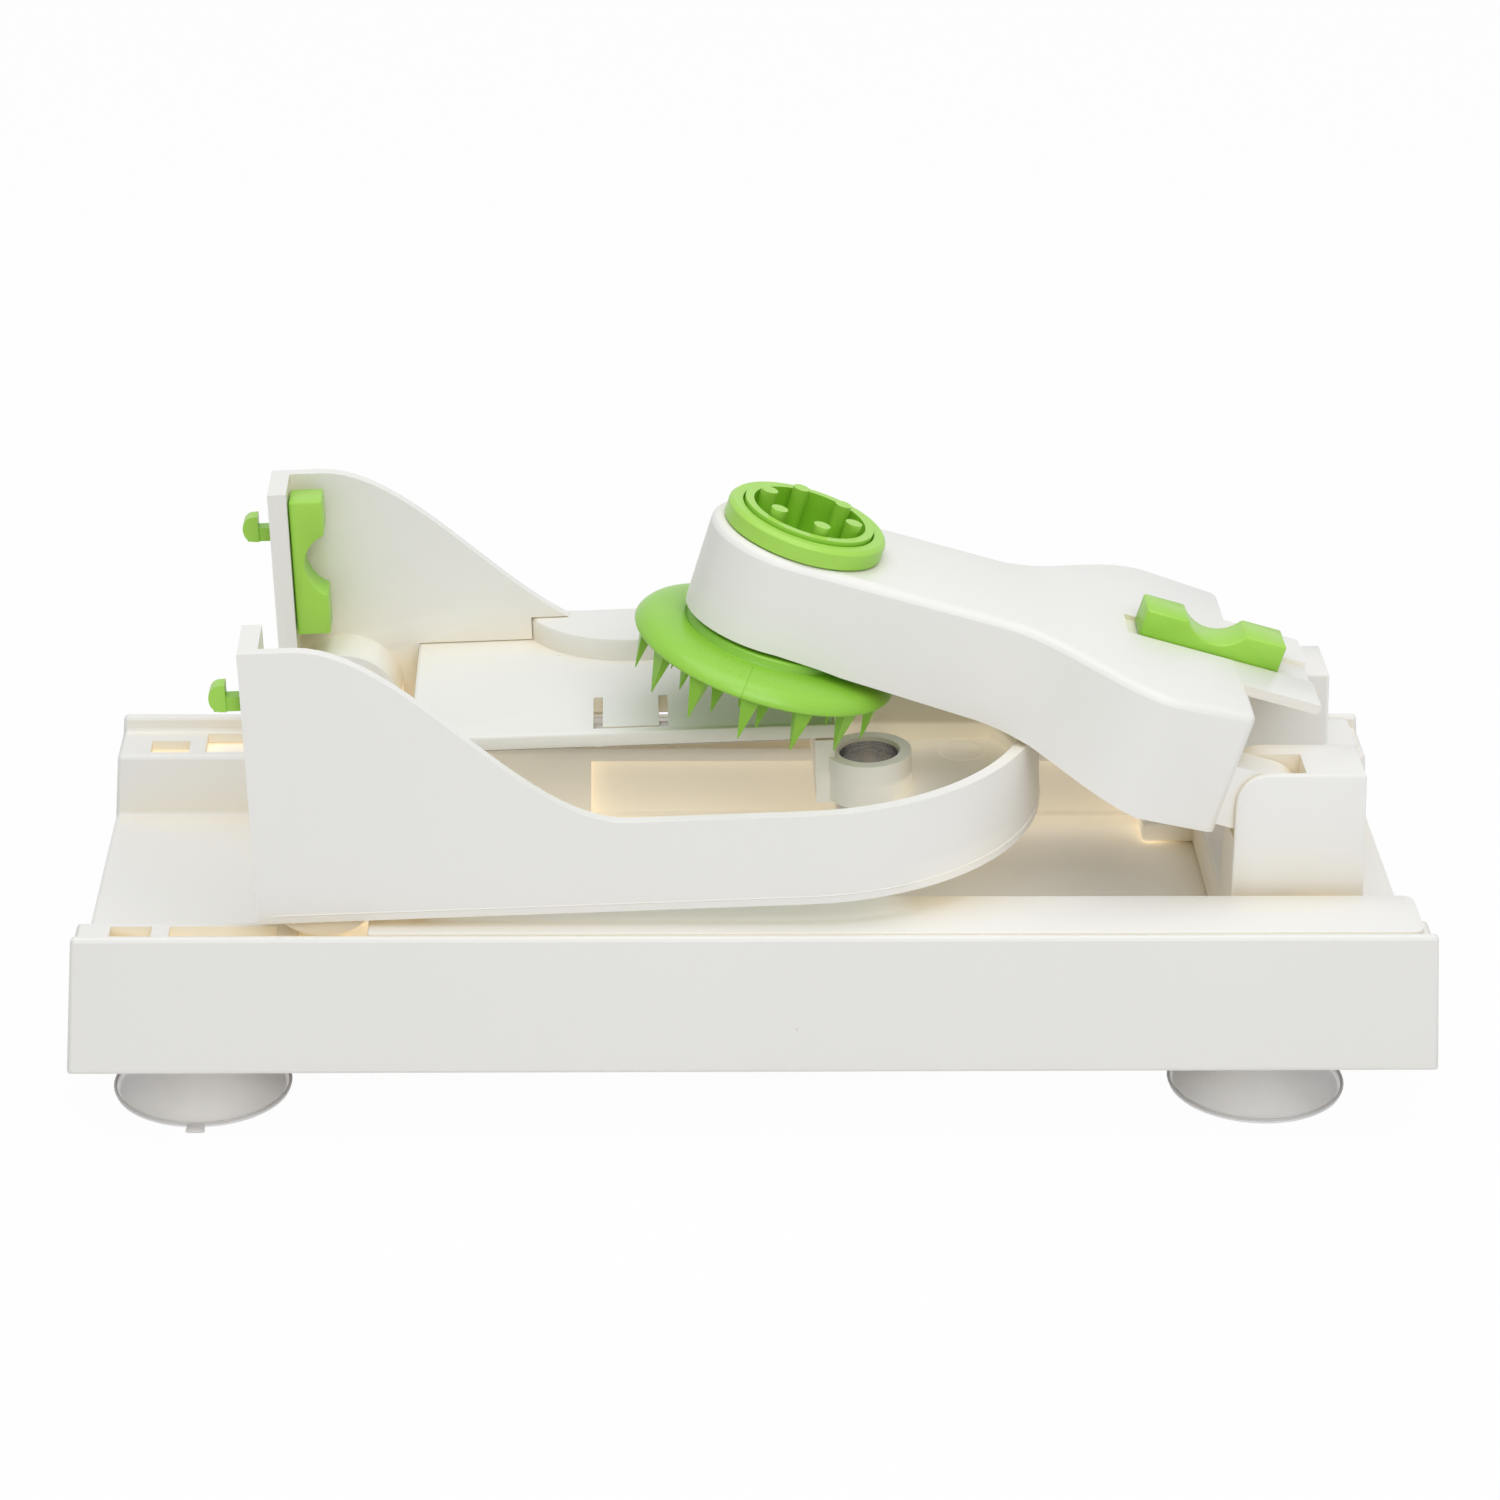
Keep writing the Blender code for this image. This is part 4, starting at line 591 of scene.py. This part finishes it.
def make_disc():
    """The disc turned from a profile whose top is crowned towards a round rim, and its spikes."""
    profile = [(BORE, BORE_END), (BORE, HUB_FLOOR), (HUB_RING_INNER - 2 * HUB_RING_CHAMFER, HUB_FLOOR),
               (HUB_RING_INNER - HUB_RING_CHAMFER, HUB_FACE - HUB_RING_CHAMFER), (HUB_RING_INNER, HUB_FACE)]
    bend = (HUB_RING_BEND, HUB_FACE - HUB_RING_ROUNDING)
    profile += rounded(bend, HUB_RING_ROUNDING, start=90, end=5, count=6)
    profile += [(HUB_RING_FOOT, DISC_TOP + 0.05), (GROOVE_RADIUS, DISC_TOP - GROOVE_DEPTH)]
    profile += CROWN
    profile += [(SCREW_BORE, DISC_FOOT), (SCREW_BORE, BORE_END), (BORE, BORE_END)]
    disc = lathe("disc_plate", profile, DISC_PLACE, **ON_DISC)
    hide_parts("spiked_disc")
    for ring, (radius, count, first_turn) in enumerate(SPIKE_RINGS):
        for number in range(count):
            points = spike(radius, first_turn + 2 * pi * number / count)
            surface(f"disc_spike_{ring + 1}_{number + 1}", points, DISC_PLACE, wrap=(False, True), **ON_DISC)
    seam = [(r * cos(SEAM_TURN), r * sin(SEAM_TURN), z) for r, z in CROWN[:SEAM_POINTS]]
    bead("disc_mould_seam", seam, SEAM_RADIUS, DISC_PLACE, **ON_DISC)


# Steel rim in the corer ring
CORER_RIM_RADIUS = 7.33
CORER_RIM_WALL = 0.35
CORER_RIM_TOP = 1.2
CORER_RIM_FOOT = -2.6
CORER_RIM_CHAMFER = 0.1


def line_corer():
    """The steel rim: a thin tube in the corer ring, from 1 mm below the ring's top down to the corer tube."""
    outer, inner = CORER_RIM_RADIUS, CORER_RIM_RADIUS - CORER_RIM_WALL
    profile = [(outer, CORER_RIM_FOOT), (outer, CORER_RIM_TOP - CORER_RIM_CHAMFER),
               (outer - CORER_RIM_CHAMFER, CORER_RIM_TOP), (inner, CORER_RIM_TOP), (inner, CORER_RIM_FOOT),
               (outer, CORER_RIM_FOOT)]
    place = FRAME_PLACE @ Matrix.Translation((CORER_U * MM, 0.0, 0.0))
    lathe("corer_rim", profile, place, material=STEEL, slot="steel")


# Floors behind the slots of the rails
SLOT_FLOOR_START = -152.0
SLOT_FLOOR_END = -92.0
SLOT_FLOOR_INNER = 47.9
SLOT_FLOOR_OUTER = 60.4
SLOT_FLOOR_HEIGHT = 46.5
SLOT_FLOOR_THICKNESS = 1.5


def floor_slots():
    """The floors seen through the slots in the left ends of both rails, in a plastic lit by painted emission so
    that the slots show light.
    """
    for label, side in (("front", -1), ("back", 1)):
        near, far = sorted((side * SLOT_FLOOR_INNER, side * SLOT_FLOOR_OUTER))
        slab("slot_floor_" + label, (SLOT_FLOOR_START, near, SLOT_FLOOR_HEIGHT - SLOT_FLOOR_THICKNESS),
             (SLOT_FLOOR_END, far, SLOT_FLOOR_HEIGHT), Matrix.Identity(4), material=SLOT_IVORY_PAINTED_GLOW)


# Suction cups, turned smooth with a thin lip, and the pull tab of one
CUPS = sorted(node for node in frame["nodes"] if node.startswith("suction_cup"))
TABBED_CUP = "suction_cup_front_left"
CUP_STEM = 4.0
CUP_HEAD = 19.7
CUP_CHAMFER = 0.3
CUP_NECK = 8.5
CUP_SHOULDER = 15.5
CUP_RIM = 20.85
CUP_SKIRT_FOOT = 1.1
CUP_SKIRT_POWER = 1.7
CUP_WALL = 1.3
CUP_FOLD = ((0.02, 0.55), (0.2, 0.12), (0.45, 0.0), (CUP_WALL - 0.1, 0.0))
CUP_HOLLOW = 8.0
CUP_HOLLOW_POWER = 1.8
CUP_POINTS = 18
LIP_RADIUS = 0.38
LIP_INSET = 0.25
LIP_HEIGHT = 1.05
TAB_REACH = 3.2
TAB_CLEARANCE = 0.05
TAB_ROOT = -0.25
TAB_ROUND_START = 0.72
TAB_HALF_WIDTH = 2.1
TAB_SWELL = 0.3
TAB_TIP_SHARE = 0.65
TAB_HALF_THICKNESS = 0.42
TAB_HEIGHT = 0.62


def make_cup(node):
    """A cup turned from a profile, with a bead round its rim.

    Its skirt falls as (1 - t) to the power 1.7 from neck to rim, and its hollow rises as 1 - (1 - t) to the
    power 1.8 from rim to middle, with t from 0 to 1.
    """
    low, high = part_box(node)
    stem_top = high.z / MM
    centre = middle(node)
    if node == TABBED_CUP:
        centre.y = low.y + (CUP_RIM + TAB_REACH) * MM
    left = 1.0 - np.linspace(0.0, 1.0, CUP_POINTS)
    inner = CUP_RIM - CUP_WALL
    stem = [(0.0, stem_top), (CUP_STEM - CUP_CHAMFER, stem_top), (CUP_STEM, stem_top - CUP_CHAMFER),
            (CUP_STEM, CUP_HEAD), (CUP_NECK - CUP_CHAMFER, CUP_HEAD), (CUP_NECK, CUP_HEAD - CUP_CHAMFER)]
    spread, fall = CUP_RIM - CUP_NECK, CUP_SHOULDER - CUP_SKIRT_FOOT
    skirt = [(CUP_RIM - spread * v, CUP_SKIRT_FOOT + fall * v ** CUP_SKIRT_POWER) for v in left]
    fold = [(CUP_RIM - inwards, height) for inwards, height in CUP_FOLD]
    hollow = [(inner * v, CUP_HOLLOW * (1 - v ** CUP_HOLLOW_POWER)) for v in left]
    place = Matrix.Translation((centre.x, centre.y, 0.0))
    cup = lathe(node + "_turned", stem + skirt + fold + hollow, place, slot="clear_vinyl")
    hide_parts(node)
    lip = circle((0.0, 0.0), CUP_RIM - LIP_INSET, LIP_HEIGHT, count=96)
    bead(node + "_lip", lip, LIP_RADIUS, place, closed=True, slot="clear_vinyl")
    return centre


def make_pull_tab(centre):
    """A soft tongue at the cup's rim, with u from -0.25 inside the rim to 1 at its free end.

    Its half width is 2.1 + 0.3 u u, less at the round end. Its section is a rounded oblong: the cosine to the
    power 0.5 across and the sine to the power 0.7 in height, each with its sign.
    """
    u = np.linspace(TAB_ROOT, 1.0, 14)[:, None]
    angle = np.linspace(0.0, 2 * pi, 16, endpoint=False)[None, :]
    into_end = np.clip((u - TAB_ROUND_START) / (1.0 - TAB_ROUND_START), 0, 1)
    close = np.sqrt(np.clip(1.0 - into_end ** 2, 0.0, 1.0))
    wide = (TAB_HALF_WIDTH + TAB_SWELL * u * u) * (TAB_TIP_SHARE + (1.0 - TAB_TIP_SHARE) * close)
    wide *= np.where(u > 0.999, 0.0, 1.0)
    x = wide * np.sign(np.cos(angle)) * np.abs(np.cos(angle)) ** 0.5
    z = TAB_HEIGHT + TAB_HALF_THICKNESS * close * np.sign(np.sin(angle)) * np.abs(np.sin(angle)) ** 0.7
    y = -(CUP_RIM + (TAB_REACH - TAB_CLEARANCE) * u) + 0.0 * x
    place = Matrix.Translation((centre.x, centre.y, 0.0))
    surface("cup_pull_tab", np.stack([x, y, z], -1) * MM, place, wrap=(False, True), slot="clear_vinyl")


# Moulding lines of the blade frame
FOOT_BEAD_HEIGHT = FRAME_FOOT + 1.9
FOOT_BEAD_START = FRAME_BACK + 1.5
FOOT_BEAD_RADIUS = 0.16
GATE_CENTRE = (150.3, 18.6)
GATE_RADIUS = 5.6
GATE_BEAD_RADIUS = 0.13


def make_frame_lines():
    """The bead along the foot of the frame's wall, straight and round the arch, and the gate ring inside."""
    straight = [(u, -FRAME_HALF, FOOT_BEAD_HEIGHT) for u in np.linspace(FOOT_BEAD_START, ARCH_CENTRE, 30)]
    turn = np.radians(np.linspace(-90, 90, 61))[1:]
    arch = [(ARCH_CENTRE + FRAME_HALF * cos(a), FRAME_HALF * sin(a), FOOT_BEAD_HEIGHT) for a in turn]
    back = [(u, FRAME_HALF, FOOT_BEAD_HEIGHT) for u in np.linspace(ARCH_CENTRE, FOOT_BEAD_START, 30)[1:]]
    bead("frame_foot_bead", straight + arch + back, FOOT_BEAD_RADIUS, FRAME_PLACE)
    ring = circle(GATE_CENTRE, GATE_RADIUS, ARCH_FLOOR, count=48)
    bead("frame_gate_ring", ring, GATE_BEAD_RADIUS, FRAME_PLACE, closed=True)


# Every piece, in its finish
TRAY_PARTS = ("base_tray", "rail_cap_front", "rail_cap_back", "carriage")
FASTENERS = ("arm_pivot_pin", "frame_pivot_pin", "rail_cap_screw", "blade_rivet", "disc_screw",
             "thrust_washer")

for name in sorted(frame["nodes"]):
    if name == "spiked_disc" or name in CUPS:
        continue
    if name.startswith(FASTENERS):
        refinish(name, STEEL)
    elif name == "straight_blade":
        refinish(name, BLADE_STEEL)
    else:
        skin(name, edge=0.0 if name == "base_tray" else EASED_EDGE,
             material=TRAY_IVORY if name in TRAY_PARTS else None)
make_disc()
line_corer()
floor_slots()
for name in CUPS:
    cup_centre = make_cup(name)
    if name == TABBED_CUP:
        make_pull_tab(cup_centre)
make_frame_lines()


# Camera at the photograph's viewpoint, from the solved perspective
CAMERA_PLACE = Vector((-0.03321, -0.95641, 0.50804))
CAMERA_YAW = radians(1.977)
CAMERA_PITCH = radians(24.499)
CAMERA_ROLL = radians(0.7715)
CAMERA_LENS = 106.36
SENSOR_WIDTH = 36.0


def set_camera():
    """Aims the camera: yaw to the right, pitch down, then a small roll about its own line of sight."""
    level = Vector((cos(CAMERA_YAW), -sin(CAMERA_YAW), 0.0))
    forward = Vector((sin(CAMERA_YAW), cos(CAMERA_YAW), 0.0))
    ahead = forward * cos(CAMERA_PITCH) - Vector((0.0, 0.0, sin(CAMERA_PITCH)))
    above = level.cross(ahead)
    right = level * cos(CAMERA_ROLL) + above * sin(CAMERA_ROLL)
    up = -level * sin(CAMERA_ROLL) + above * cos(CAMERA_ROLL)
    data = bpy.data.cameras.new("photo camera")
    data.lens = CAMERA_LENS
    data.sensor_width = SENSOR_WIDTH
    camera = bpy.data.objects.new("photo camera", data)
    bpy.context.scene.collection.objects.link(camera)
    camera.matrix_world = Matrix.Translation(CAMERA_PLACE) @ Matrix((right, up, -ahead)).transposed().to_4x4()
    bpy.context.scene.camera = camera


# Floor, world and lamps
WHITE = (1.0, 1.0, 1.0, 1.0)
FLOOR_GREY = (0.80, 0.80, 0.80, 1.0)
FLOOR_HALF = 3.0
FLOOR_WHITE_SHARE = 0.97
WORLD_LIGHT = 0.42
LAMP_AIM = Vector((0.0, 0.0, 0.05))
LAMPS = (
    {"name": "overhead light", "place": (0.0, -0.15, 1.3), "width": 1.2, "height": 1.0, "power": 6.6},
    {"name": "camera side light", "place": (0.25, -1.15, 1.1), "width": 1.1, "height": 0.8, "power": 8.3},
)


def set_floor():
    """A plain pale floor that shows near white and keeps the object's soft shadow."""
    mesh = bpy.data.meshes.new("floor")
    corners = [(FLOOR_HALF * x, FLOOR_HALF * y, 0.0) for x, y in ((-1, -1), (1, -1), (1, 1), (-1, 1))]
    mesh.from_pydata(corners, [], [(0, 1, 2, 3)])
    floor = bpy.data.objects.new("floor", mesh)
    bpy.context.scene.collection.objects.link(floor)
    finish = Finish("pale floor", Base_Color=FLOOR_GREY, Roughness=0.9, Specular_IOR_Level=0.1)
    white = finish.node("Emission", {}, {"Color": WHITE, "Strength": 1.0})
    lit = Wire(finish, finish.shader.outputs[0])
    shown = finish.node("MixShader", {}, {0: finish.seen_directly() * FLOOR_WHITE_SHARE, 1: lit, 2: white})
    finish.tree.links.new(shown.socket, finish.tree.nodes["Material Output"].inputs["Surface"])
    mesh.materials.append(finish.material)


def set_world():
    """Even pale light from all round, shown as plain white behind the object."""
    world = bpy.data.worlds.new("studio")
    world.use_nodes = True
    bpy.context.scene.world = world
    studio = Shading(world.node_tree)
    background = studio.tree.nodes["Background"]
    background.inputs["Color"].default_value = WHITE
    strength = WORLD_LIGHT + (1.0 - WORLD_LIGHT) * studio.seen_directly()
    studio.tree.links.new(strength.socket, background.inputs["Strength"])


def softbox(name, place, width, height, power):
    """A large square lamp that faces the object."""
    data = bpy.data.lights.new(name, "AREA")
    data.shape = "RECTANGLE"
    data.size = width
    data.size_y = height
    data.energy = power
    lamp = bpy.data.objects.new(name, data)
    bpy.context.scene.collection.objects.link(lamp)
    way = LAMP_AIM - Vector(place)
    lamp.matrix_world = Matrix.Translation(place) @ way.to_track_quat("-Z", "Y").to_matrix().to_4x4()


set_camera()
set_floor()
set_world()
for lamp_row in LAMPS:
    softbox(**lamp_row)
bpy.context.scene.view_settings.view_transform = "Standard"
bpy.context.scene.cycles.diffuse_bounces = 8
